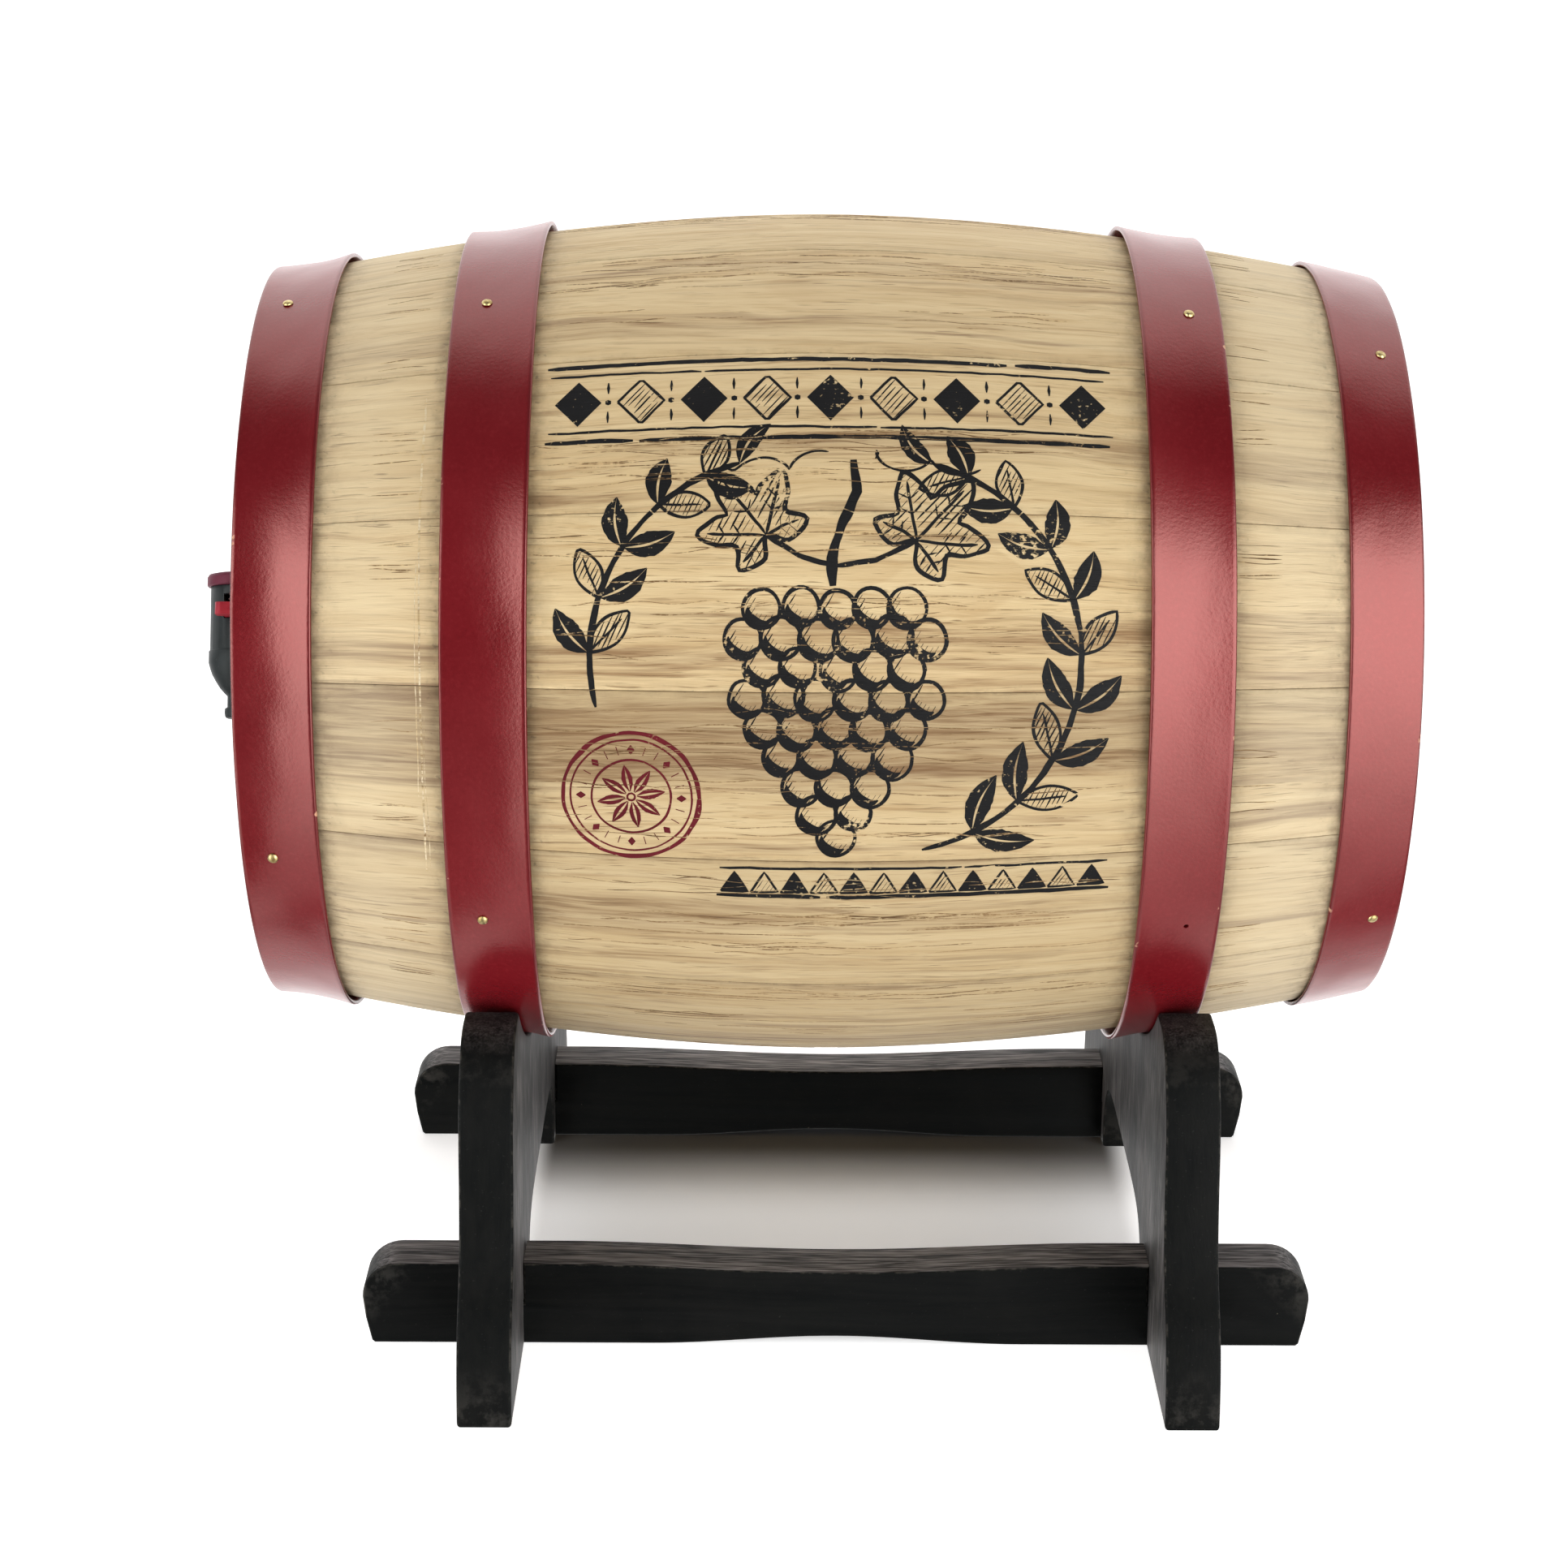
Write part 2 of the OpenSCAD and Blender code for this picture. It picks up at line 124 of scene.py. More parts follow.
# ---------------------------------------------------------------- meshes
def make(name, V, F, mat, body, replaces=(), attrs=None, smooth=35.0, recalc=True):
    me = bpy.data.meshes.new(name)
    V = np.asarray(V, float) * MM
    me.from_pydata(V.tolist(), [], F)
    for key, val in (attrs or {}).items():
        val = np.asarray(val, np.float32)
        if val.ndim == 1:
            me.attributes.new(key, "FLOAT", "POINT").data.foreach_set("value", val)
        else:
            me.attributes.new(key, "FLOAT_VECTOR", "POINT").data.foreach_set("vector", val.ravel())
    if recalc:
        bm = bmesh.new()
        bm.from_mesh(me)
        bmesh.ops.recalc_face_normals(bm, faces=bm.faces)
        bm.to_mesh(me)
        bm.free()
    me.update()
    me.shade_smooth()
    if smooth is not None:
        me.set_sharp_from_angle(angle=rad(smooth))
    ob = bpy.data.objects.new(name, me)
    bpy.context.scene.collection.objects.link(ob)
    me.materials.append(mat)
    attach(ob, body)
    if replaces:
        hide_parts(*replaces)
    return ob


def tube_faces(n, m, base=0, wrap=False, caps=True):
    """Faces of n rings of m points each."""
    F = []
    for i in range(n if wrap else n - 1):
        a, b = base + i * m, base + ((i + 1) % n) * m
        for j in range(m):
            k = (j + 1) % m
            F.append((a + j, a + k, b + k, b + j))
    if caps and not wrap:
        F.append(tuple(base + j for j in range(m - 1, -1, -1)))
        F.append(tuple(base + (n - 1) * m + j for j in range(m)))
    return F


def lathe(profile, n=48, wobble=None):
    """Rings round +Z for a profile of (r, z); the ends at r = 0 become points. Returns V, F."""
    V, F, rings = [], [], []
    for i, (r, z) in enumerate(profile):
        if r < 1e-6:
            rings.append([len(V)])
            V.append((0.0, 0.0, z))
        else:
            ring = []
            for j in range(n):
                a = 2 * math.pi * j / n
                rr = r if wobble is None else r + wobble(a, z, r)
                ring.append(len(V))
                V.append((rr * math.cos(a), rr * math.sin(a), z))
            rings.append(ring)
    for a, b in zip(rings, rings[1:]):
        if len(a) == 1 and len(b) == 1:
            continue
        for j in range(n):
            k = (j + 1) % n
            if len(a) == 1:
                F.append((a[0], b[j], b[k]))
            elif len(b) == 1:
                F.append((a[j], a[k], b[0]))
            else:
                F.append((a[j], a[k], b[k], b[j]))
    if len(rings[0]) > 1 and len(rings[-1]) > 1:
        for j in range(n):
            k = (j + 1) % n
            F.append((rings[-1][j], rings[-1][k], rings[0][k], rings[0][j]))
    return V, F


class Build:
    """Collects several shapes into one mesh."""

    def __init__(self):
        self.V, self.F, self.A = [], [], {}

    def add(self, V, F, place=None, **attrs):
        base = len(self.V)
        for i, p in enumerate(V):
            self.V.append(tuple(place @ Vector(p)) if place is not None else tuple(p))
            for key, val in attrs.items():
                self.A.setdefault(key, []).append(val[i] if hasattr(val, "__len__") and len(val) == len(V) else val)
        self.F += [tuple(base + i for i in f) for f in F]


def frame_at(p, zdir, xdir=None):
    """A matrix whose +Z is zdir, at p, in mm."""
    z = Vector(zdir).normalized()
    x = Vector(xdir) if xdir is not None else (Vector((1, 0, 0)) if abs(z.x) < 0.9 else Vector((0, 1, 0)))
    x = (x - z * x.dot(z)).normalized()
    y = z.cross(x)
    m = Matrix.Identity(4)
    for i in range(3):
        m[i][0], m[i][1], m[i][2] = x[i], y[i], z[i]
    m.translation = Vector(p)
    return m


def smooth_poly(pts, n=5, closed=False):
    """Catmull-Rom points through pts."""
    out = []
    N = len(pts)
    for i in range(N if closed else N - 1):
        p = [Vector(pts[(i + k) % N]) if closed else Vector(pts[min(max(i + k, 0), N - 1)]) for k in (-1, 0, 1, 2)]
        for j in range(n):
            t = j / n
            out.append(tuple(0.5 * ((2 * p[1]) + (p[2] - p[0]) * t + (2 * p[0] - 5 * p[1] + 4 * p[2] - p[3]) * t * t
                                    + (3 * p[1] - p[0] - 3 * p[2] + p[3]) * t ** 3)))
    if not closed:
        out.append(tuple(Vector(pts[-1])))
    return out


def inset(poly, d):
    """A closed counter-clockwise outline moved inwards by d, point for point."""
    P = np.asarray(poly, float)
    e = np.roll(P, -1, 0) - P
    e /= np.maximum(np.linalg.norm(e, axis=1, keepdims=True), 1e-9)
    nrm = np.stack([-e[:, 1], e[:, 0]], 1)
    prev = np.roll(nrm, 1, 0)
    s = nrm + prev
    den = np.maximum((s * s).sum(1, keepdims=True), 1.0)
    return P + 2 * s / den * d


def ccw(poly):
    P = np.asarray(poly, float)
    x, y = P[:, 0], P[:, 1]
    return poly if np.sum(x * np.roll(y, -1) - np.roll(x, -1) * y) > 0 else poly[::-1]


def dense(poly, step):
    """Adds points to the long edges of a closed outline."""
    out = []
    for i in range(len(poly)):
        a, b = np.asarray(poly[i], float), np.asarray(poly[(i + 1) % len(poly)], float)
        n = max(1, int(np.ceil(np.linalg.norm(b - a) / step)))
        for j in range(n):
            out.append(tuple(a + (b - a) * j / n))
    return out


def slab_board(poly, t0, t1, r, to3, seg=4):
    """A board from an outline, t0 to t1 thick, with its edges rounded by r. to3(u, v, t) gives the point.
    Returns V, F and the edge value of each vertex."""
    poly = ccw(poly)
    layers = []
    for i in range(seg + 1):
        a = math.pi / 2 * i / seg
        layers.append((t0 + r * (1 - math.sin(a)), r * (1 - math.cos(a))))
    layers = layers[::-1]                      # from the face inwards
    full = [(t, d) for t, d in layers] + [(t1 - (t - t0), d) for t, d in layers[::-1]]
    V, E = [], []
    m = len(poly)
    mid = (seg) / 2.0
    for li, (t, d) in enumerate(full):
        Q = inset(poly, d)
        k = li if li <= seg else 2 * seg + 1 - li
        e = max(0.0, 1.0 - abs(k - mid) / mid)
        for q in Q:
            V.append(to3(q[0], q[1], t))
            E.append(e)
    F = tube_faces(len(full), m)
    return V, F, E


# ---------------------------------------------------------------- materials
class Mat:
    def __init__(self, name):
        self.m = bpy.data.materials.new(name)
        self.m.use_nodes = True
        self.t = self.m.node_tree
        self.t.nodes.clear()
        self.out = self.new("ShaderNodeOutputMaterial")
        self.b = self.new("ShaderNodeBsdfPrincipled")
        self.t.links.new(self.b.outputs[0], self.out.inputs[0])

    def new(self, kind):
        return self.t.nodes.new(kind)

    def put(self, sock, v):
        if isinstance(v, bpy.types.NodeSocket):
            self.t.links.new(v, sock)
        elif v is not None:
            sock.default_value = v

    def set(self, **kw):
        for k, v in kw.items():
            self.put(self.b.inputs[k.replace("_", " ")], v)
        return self

    def math(self, op, a, b=None, c=None, clamp=False):
        n = self.new("ShaderNodeMath")
        n.operation, n.use_clamp = op, clamp
        for i, v in enumerate((a, b, c)):
            if v is not None:
                self.put(n.inputs[i], v)
        return n.outputs[0]

    def vm(self, op, a, b=None, s=None):
        n = self.new("ShaderNodeVectorMath")
        n.operation = op
        self.put(n.inputs[0], a)
        if b is not None:
            self.put(n.inputs[1], b)
        if s is not None:
            self.put(n.inputs["Scale"], s)
        return n.outputs["Value"] if op in ("LENGTH", "DOT_PRODUCT", "DISTANCE") else n.outputs["Vector"]

    def attr(self, name, out="Fac"):
        n = self.new("ShaderNodeAttribute")
        n.attribute_name = name
        return n.outputs[out]

    def obj(self):
        return self.new("ShaderNodeTexCoord").outputs["Object"]

    def up(self):
        n = self.new("ShaderNodeSeparateXYZ")
        self.put(n.inputs[0], self.new("ShaderNodeNewGeometry").outputs["Normal"])
        return n.outputs[2]

    def xyz(self, v):
        n = self.new("ShaderNodeSeparateXYZ")
        self.put(n.inputs[0], v)
        return n.outputs[0], n.outputs[1], n.outputs[2]

    def comb(self, x, y, z):
        n = self.new("ShaderNodeCombineXYZ")
        for i, v in enumerate((x, y, z)):
            self.put(n.inputs[i], v)
        return n.outputs[0]

    def noise(self, v, detail=2.0, rough=0.5, dist=0.0, scale=1.0, out="Fac"):
        n = self.new("ShaderNodeTexNoise")
        self.put(n.inputs["Vector"], v)
        n.inputs["Scale"].default_value = scale
        n.inputs["Detail"].default_value = detail
        n.inputs["Roughness"].default_value = rough
        n.inputs["Distortion"].default_value = dist
        return n.outputs[out]

    def voro(self, v, scale=1.0, out="Distance", feature="F1"):
        n = self.new("ShaderNodeTexVoronoi")
        n.feature = feature
        self.put(n.inputs["Vector"], v)
        n.inputs["Scale"].default_value = scale
        return n.outputs[out]

    def mr(self, v, a, b, c=0.0, d=1.0, smooth=False):
        n = self.new("ShaderNodeMapRange")
        n.interpolation_type = "SMOOTHSTEP" if smooth else "LINEAR"
        self.put(n.inputs[0], v)
        for i, x in enumerate((a, b, c, d)):
            self.put(n.inputs[i + 1], x)
        return n.outputs[0]

    def ramp(self, f, stops):
        n = self.new("ShaderNodeValToRGB")
        self.put(n.inputs[0], f)
        el = n.color_ramp.elements
        while len(el) < len(stops):
            el.new(0.5)
        for e, (p, c) in zip(el, stops):
            e.position, e.color = p, c
        return n.outputs[0]

    def mix(self, f, a, b, blend="MIX"):
        n = self.new("ShaderNodeMix")
        n.data_type, n.blend_type = "RGBA", blend
        self.put(n.inputs[0], f)
        self.put(n.inputs[6], a)
        self.put(n.inputs[7], b)
        return n.outputs[2]

    def bump(self, h, dist, strength=1.0, nrm=None):
        n = self.new("ShaderNodeBump")
        n.inputs["Strength"].default_value = strength
        n.inputs["Distance"].default_value = dist
        self.put(n.inputs["Height"], h)
        if nrm is not None:
            self.put(n.inputs["Normal"], nrm)
        return n.outputs[0]


C_LIGHT, C_MID, C_TAN = lin((228, 204, 158)), lin((212, 184, 136)), lin((180, 143, 95))
C_BROWN, C_DARK, C_GREY = lin((136, 103, 68)), lin((84, 64, 43)), lin((154, 137, 110))


def wood_nodes(M, loose=False):
    """The oak: coordinates along, across and into each board come from the mesh, or from the object for loose blocks.
    Returns colour, height and a roughness noise."""
    if loose:
        P, seed = M.obj(), 3.4
        tx, ty, tz, hx, hy, hz = 0.05, 0.95, 0.05, 0.012, 0.03, 0.04
    else:
        P = M.attr("gcoord", "Vector")
        seed = M.attr("seed")
        tx, ty, tz = M.xyz(M.attr("tone", "Vector"))
        hx, hy, hz = M.xyz(M.attr("heart", "Vector"))
    P0 = M.vm("ADD", P, M.vm("SCALE", (7.13, 3.37, 5.91), s=seed))
    w = M.noise(M.vm("MULTIPLY", P0, (7, 20, 20)), detail=3, out="Color")
    w = M.vm("MULTIPLY", M.vm("SUBTRACT", w, (0.5, 0.5, 0.5)), (0.0, 0.013, 0.013))
    P1 = M.vm("ADD", P0, w)
    # growth rings about the heart of the tree
    lx, ly, lz = M.xyz(M.vm("ADD", P, w))
    yc = M.math("SUBTRACT", ly, hx)
    zc = M.math("ADD", M.math("SUBTRACT", lz, hy), M.math("MULTIPLY", lx, hz))
    r = M.math("SQRT", M.math("ADD", M.math("MULTIPLY", yc, yc), M.math("MULTIPLY", zc, zc)))
    ring = M.math("FRACT", M.math("DIVIDE", r, 0.0034))
    late = M.math("MULTIPLY", M.mr(ring, 0.45, 0.93, smooth=True), M.mr(ring, 1.0, 0.94))
    g1 = M.noise(M.vm("MULTIPLY", P1, (6, 190, 190)), detail=4, rough=0.65)
    g2 = M.noise(M.vm("MULTIPLY", P1, (24, 820, 820)), detail=3, rough=0.62)
    g3 = M.noise(M.vm("MULTIPLY", P1, (170, 3300, 3300)), detail=1)
    pore = M.noise(M.vm("MULTIPLY", P1, (70, 1900, 1900)), detail=1, rough=0.4)
    s1 = M.noise(M.vm("MULTIPLY", P1, (3.0, 64, 64)), detail=5, rough=0.66, dist=0.25)
    s2 = M.noise(M.vm("MULTIPLY", P1, (7.5, 260, 260)), detail=3, rough=0.6, dist=0.2)
    gate = M.noise(M.vm("MULTIPLY", P0, (9, 34, 34)), detail=2)
    c = M.mix(M.mr(g1, 0.34, 0.68), C_LIGHT, C_MID)
    c = M.mix(M.math("MULTIPLY", late, M.mr(gate, 0.40, 0.75, 0.0, 0.32)), c, C_TAN)
    c = M.mix(M.mr(g2, 0.50, 0.78, 0.0, 0.62), c, C_TAN)
    sa = M.math("ADD", s1, M.math("MULTIPLY", tx, 0.22))
    fib = M.mr(g2, 0.3, 0.66, 0.30, 1.0)
    st = M.math("MULTIPLY", M.mr(sa, 0.53, 0.78), fib)
    c = M.mix(M.math("MULTIPLY", st, 1.0, clamp=True), c, C_BROWN)
    fine = M.math("MULTIPLY", M.mr(s2, 0.55, 0.66), M.mr(sa, 0.42, 0.64, 0.16, 1.0))
    c = M.mix(M.math("MULTIPLY", fine, 0.78), c, C_BROWN)
    thin = M.math("MULTIPLY", M.mr(g2, 0.68, 0.78), M.mr(sa, 0.50, 0.66))
    c = M.mix(M.math("MULTIPLY", thin, 0.7), c, C_DARK)
    po = M.math("MULTIPLY", M.mr(pore, 0.64, 0.74), M.mr(gate, 0.38, 0.62, 0.20, 0.8))
    c = M.mix(po, c, M.mix(0.5, C_TAN, C_DARK))
    # greyness per stave; on the top staves it is partly painted sheen
    c = M.mix(tz, c, M.mix(0.72, c, C_GREY))
    # brightness per stave; on the staves low on the near side it is lowered as painted shade
    tone_and_shade = M.comb(ty, ty, ty)
    c = M.mix(1.0, c, tone_and_shade, "MULTIPLY")
    h = M.math("ADD", M.math("MULTIPLY", g3, 0.5), M.math("MULTIPLY", g2, 0.6))
    h = M.math("SUBTRACT", h, M.math("MULTIPLY", po, 0.9))
    h = M.math("SUBTRACT", h, M.math("MULTIPLY", late, 0.25))
    return c, h, g2, gate


def grime_and_shade_colour(M, c):
    """Dirt and painted shade beside and under the hoops, dirt in the joints, and the pressed line where a hoop sat."""
    hoop_dirt_shade, press, pale = M.xyz(M.attr("grime_and_shade", "Vector"))
    c = M.mix(M.math("MULTIPLY", pale, 0.26), c, lin((246, 233, 204)))
    P = M.attr("gcoord", "Vector")
    n1 = M.noise(M.vm("ADD", P, M.vm("SCALE", (1.9, 2.3, 1.1), s=M.attr("seed"))), detail=4, rough=0.65, scale=170)
    f = M.math("MULTIPLY", hoop_dirt_shade, M.mr(n1, 0.36, 0.66, 0.12, 1.0), clamp=True)
    # dirt mixed with painted shade: the oak is darkened beside and under the hoops and in the joints
    c = M.mix(M.math("MULTIPLY", f, 0.72), c, lin((88, 71, 47)))
    spots = M.noise(M.vm("MULTIPLY", P, (1, 1.4, 1)), detail=2, rough=0.6, scale=420)
    f2 = M.math("MULTIPLY", hoop_dirt_shade, M.mr(spots, 0.62, 0.70), clamp=True)
    c = M.mix(M.math("MULTIPLY", f2, 0.55), c, lin((62, 54, 42)))
    c = M.mix(M.math("MULTIPLY", press, 0.5), c, lin((246, 236, 212)))
    return c


def oak_material(name="oak_wood", loose=False):
    M = Mat(name)
    c, h, g, gate = wood_nodes(M, loose)
    if not loose:
        c = grime_and_shade_colour(M, c)
    M.set(Base_Color=c, Roughness=M.mr(g, 0.2, 0.8, 0.52, 0.72), Specular_IOR_Level=0.32,
          Normal=M.bump(h, 0.00022, 0.8))
    return M.m


def ink_material(name, ink_a, ink_b, wear_lo, wear_hi):
    """Printed ink: it has sunk into the oak, and lets the same oak show where it is worn."""
    M = Mat(name)
    c, h, g, gate = wood_nodes(M)
    P = M.attr("gcoord", "Vector")
    seeds = M.vm("ADD", P, M.vm("SCALE", (2.9, 4.3, 1.7), s=M.attr("seed")))
    n1 = M.noise(seeds, detail=3, rough=0.6, scale=620)
    n2 = M.noise(seeds, detail=2, rough=0.5, scale=60)
    n3 = M.noise(M.vm("MULTIPLY", seeds, (260, 2300, 2300)), detail=1)
    worn = M.math("ADD", M.math("MULTIPLY", n1, 0.62), M.math("MULTIPLY", n2, 0.38))
    worn = M.math("ADD", worn, M.math("MULTIPLY", M.math("SUBTRACT", n3, 0.5), 0.16))
    f = M.mr(worn, wear_lo, wear_hi)
    ink = M.mix(M.mr(n2, 0.3, 0.7), ink_a, ink_b)
    c = M.mix(f, ink, c)
    M.set(Base_Color=c, Roughness=M.mr(n1, 0.3, 0.7, 0.5, 0.68), Specular_IOR_Level=0.16,
          Normal=M.bump(h, 0.00016, 0.7))
    return M.m


def paint_material():
    """Satin dark red paint over steel band, with orange peel, rubbed edges, edges darkened as painted shade, and a few
    small chips.
    """
    M = Mat("hoop_paint")
    P = M.obj()
    big = M.noise(P, detail=3, rough=0.55, scale=26)
    peel = M.noise(P, detail=2, rough=0.5, scale=900)
    fine = M.noise(P, detail=1, scale=2600)
    grit = M.voro(P, scale=260)
    base = M.mix(M.mr(big, 0.3, 0.7), lin((104, 14, 22)), lin((114, 20, 28)))
    mott = M.noise(P, detail=3, rough=0.65, scale=700)
    base = M.mix(M.mr(mott, 0.5, 0.75, 0.0, 0.30), base, lin((134, 36, 42)))
    base = M.mix(M.mr(mott, 0.42, 0.25, 0.0, 0.35), base, lin((84, 10, 16)))
    edge = M.attr("edge")
    en = M.noise(P, detail=3, rough=0.6, scale=260)
    rub = M.math("MULTIPLY", M.mr(edge, 0.55, 1.0), M.mr(en, 0.36, 0.66, 0.35, 1.0), clamp=True)
    base = M.mix(M.math("MULTIPLY", rub, 0.10), base, lin((176, 96, 92)))
    # painted shade: the band's rounded edges, and the rims and tops of the rivets, are darkened
    base = M.mix(M.mr(edge, 0.35, 0.85, 0.0, 0.45), base, lin((72, 14, 20)))
    chipn = M.noise(P, detail=2, rough=0.55, scale=150)
    chip_e = M.math("MULTIPLY", M.mr(edge, 0.3, 0.8), M.mr(chipn, 0.70, 0.73), clamp=True)
    speck = M.noise(P, detail=1, scale=360)
    chip = M.math("MAXIMUM", chip_e, M.mr(speck, 0.865, 0.885))
    base = M.mix(chip, base, lin((206, 158, 126)))
    h = M.math("ADD", M.math("MULTIPLY", peel, 0.8), M.math("MULTIPLY", fine, 0.25))
    h = M.math("ADD", h, M.math("MULTIPLY", M.mr(grit, 0.0, 0.22, 0.35, 0.0), 0.6))
    h = M.math("SUBTRACT", h, M.math("MULTIPLY", chip, 1.2))
    M.set(Base_Color=base, Roughness=M.math("ADD", M.mr(big, 0.25, 0.75, 0.20, 0.27), M.math("MULTIPLY", chip, 0.25)),
          Specular_IOR_Level=1.0, Specular_Tint=(1.0, 0.52, 0.47, 1.0), Normal=M.bump(h, 0.00007, 0.75))
    return M.m


def metal_material(name, dark, light, rough, scale=900, metallic=1.0, spots=0.35):
    M = Mat(name)
    P = M.obj()
    n1 = M.noise(P, detail=3, rough=0.6, scale=scale * 0.35)
    n2 = M.noise(P, detail=2, rough=0.5, scale=scale * 2.4)
    c = M.mix(M.mr(n1, 0.35, 0.68), light, dark)
    c = M.mix(M.math("MULTIPLY", M.mr(n2, 0.6, 0.75), spots), c, lin((52, 38, 22)))
    M.set(Base_Color=c, Metallic=metallic, Roughness=M.mr(n1, 0.3, 0.7, rough, rough + 0.16),
          Normal=M.bump(n2, 0.00004, 0.6))
    return M.m


def stain_material():
    """Black-stained softwood: the grain is brushed open, the edges are rubbed paler, and faces that look up are
    lightened as painted sheen.
    """
    M = Mat("stand_stain")
    P = M.attr("gcoord", "Vector")
    seed = M.attr("seed")
    P0 = M.vm("ADD", P, M.vm("SCALE", (5.3, 2.7, 4.1), s=seed))
    w = M.noise(M.vm("MULTIPLY", P0, (8, 22, 22)), detail=2, out="Color")
    P1 = M.vm("ADD", P0, M.vm("MULTIPLY", M.vm("SUBTRACT", w, (0.5, 0.5, 0.5)), (0.0, 0.010, 0.010)))
    g1 = M.noise(M.vm("MULTIPLY", P1, (14, 330, 330)), detail=3, rough=0.6)
    g2 = M.noise(M.vm("MULTIPLY", P1, (60, 1500, 1500)), detail=2, rough=0.55)
    blot = M.noise(P0, detail=3, rough=0.6, scale=38)
    fine = M.noise(P0, detail=2, rough=0.6, scale=900)
    base = M.mix(M.mr(g1, 0.35, 0.68), lin((10, 12, 12)), lin((18, 19, 18)))
    base = M.mix(M.mr(blot, 0.45, 0.75, 0.0, 0.5), base, lin((26, 26, 25)))
    base = M.mix(M.mr(fine, 0.66, 0.78, 0.0, 0.30), base, lin((62, 62, 59)))
    ax, ay, az = M.xyz(M.attr("face", "Vector"))
    # painted sheen with the dry-brushed grain: faces that look up are lightened; end grain on top of the boards keeps
    # more of the stain than the tops of the rails, so the boards get less
    up = M.math("MULTIPLY", M.mr(M.up(), 0.72, 0.97), M.mr(az, 0.0, 1.0, 1.0, 0.16))
    streak = M.math("ADD", M.mr(g2, 0.42, 0.72, 0.05, 0.65), M.mr(g1, 0.45, 0.72, 0.0, 0.30))
    dry_brush_and_sheen = M.math("MULTIPLY", M.math("MAXIMUM", M.math("MULTIPLY", up, 1.5), M.math("MULTIPLY", ax, M.mr(blot, 0.35, 0.68, 0.22, 0.95))), streak, clamp=True)
    base = M.mix(dry_brush_and_sheen, base, lin((150, 146, 146)))
    edge = M.attr("edge")
    en = M.noise(P0, detail=3, rough=0.65, scale=210)
    rub = M.math("MULTIPLY", M.mr(edge, 0.35, 0.9), M.mr(en, 0.48, 0.72), clamp=True)
    base = M.mix(M.math("MULTIPLY", rub, 0.42), base, lin((118, 114, 106)))
    worn = M.math("MULTIPLY", ay, M.mr(M.noise(P0, detail=4, rough=0.7, scale=120), 0.46, 0.60), clamp=True)
    base = M.mix(M.math("MULTIPLY", worn, 0.55), base, lin((104, 101, 96)))
    speck = M.mr(M.noise(P0, detail=1, scale=560), 0.83, 0.87)
    base = M.mix(M.math("MULTIPLY", speck, 0.5), base, lin((150, 140, 118)))
    h = M.math("ADD", M.math("MULTIPLY", g2, 0.8), M.math("ADD", M.math("MULTIPLY", g1, 0.5), M.math("MULTIPLY", fine, 0.25)))
    M.set(Base_Color=base, Roughness=M.mr(g1, 0.3, 0.7, 0.50, 0.64), Specular_IOR_Level=0.06,
          Normal=M.bump(h, 0.00016, 0.8))
    return M.m


def plastic_material(name, a, b, rough, scale=1.0):
    """Moulded plastic: a faint spark-eroded grain, light scuffs and a little wear."""
    M = Mat(name)
    P = M.obj()
    n1 = M.noise(P, detail=3, rough=0.6, scale=150 * scale)
    n2 = M.noise(P, detail=2, rough=0.6, scale=2600 * scale)
    sc = M.noise(M.vm("MULTIPLY", P, (900, 240, 1700)), detail=2, rough=0.6)
    c = M.mix(M.mr(n1, 0.35, 0.7), a, b)
    c = M.mix(M.mr(sc, 0.70, 0.82, 0.0, 0.12), c, lin((176, 176, 172)))
    h = M.math("ADD", n2, M.math("MULTIPLY", sc, 0.35))
    M.set(Base_Color=c, Roughness=M.mr(n1, 0.3, 0.7, rough, rough + 0.14), Specular_IOR_Level=0.22,
          Normal=M.bump(h, 0.00003, 0.6))
    return M.m


def film_material():
    M = Mat("bag_film")
    P = M.obj()
    n1 = M.noise(P, detail=4, rough=0.6, scale=34)
    n2 = M.noise(P, detail=3, rough=0.6, scale=260)
    c = M.mix(M.mr(n1, 0.35, 0.7), lin((214, 216, 220)), lin((176, 180, 186)))
    M.set(Base_Color=c, Metallic=0.85, Roughness=M.mr(n2, 0.3, 0.7, 0.24, 0.40),
          Normal=M.bump(M.math("ADD", n1, M.math("MULTIPLY", n2, 0.3)), 0.0007, 0.6))
    return M.m


OAK = oak_material()
OAK_LOOSE = oak_material("oak_block", True)
INK = ink_material("print_ink", lin((9, 9, 10)), lin((20, 20, 21)), 0.60, 0.66)
GRAIN_INK = ink_material("grain_lines", lin((96, 72, 46)), lin((148, 118, 80)), 0.47, 0.60)
PALE_INK = ink_material("pressed_line", lin((232, 219, 188)), lin((214, 196, 160)), 0.40, 0.58)
RED_INK = ink_material("emblem_ink", lin((84, 16, 24)), lin((104, 24, 34)), 0.60, 0.68)
PAINT = paint_material()
BRASS = metal_material("brass", lin((150, 126, 76)), lin((222, 204, 150)), 0.30)
HINGE = metal_material("hinge_brass", lin((138, 104, 52)), lin((196, 160, 92)), 0.30)
STEEL = metal_material("steel", lin((150, 150, 152)), lin((205, 205, 208)), 0.26)
MAGNET = metal_material("magnet_metal", lin((74, 74, 78)), lin((120, 120, 126)), 0.34)
STAIN = stain_material()
TAP_BLACK = plastic_material("tap_black", lin((20, 25, 26)), lin((32, 38, 39)), 0.42)
TAP_MAROON = plastic_material("tap_maroon", lin((84, 26, 44)), lin((102, 36, 56)), 0.42)
TAP_RED = plastic_material("tap_red", lin((146, 34, 48)), lin((168, 46, 60)), 0.36)
RUBBER = plastic_material("seal_rubber", lin((30, 30, 31)), lin((44, 44, 45)), 0.55)
SPOUT = plastic_material("spout_plastic", lin((214, 216, 214)), lin((232, 233, 230)), 0.36)
FILM = film_material()


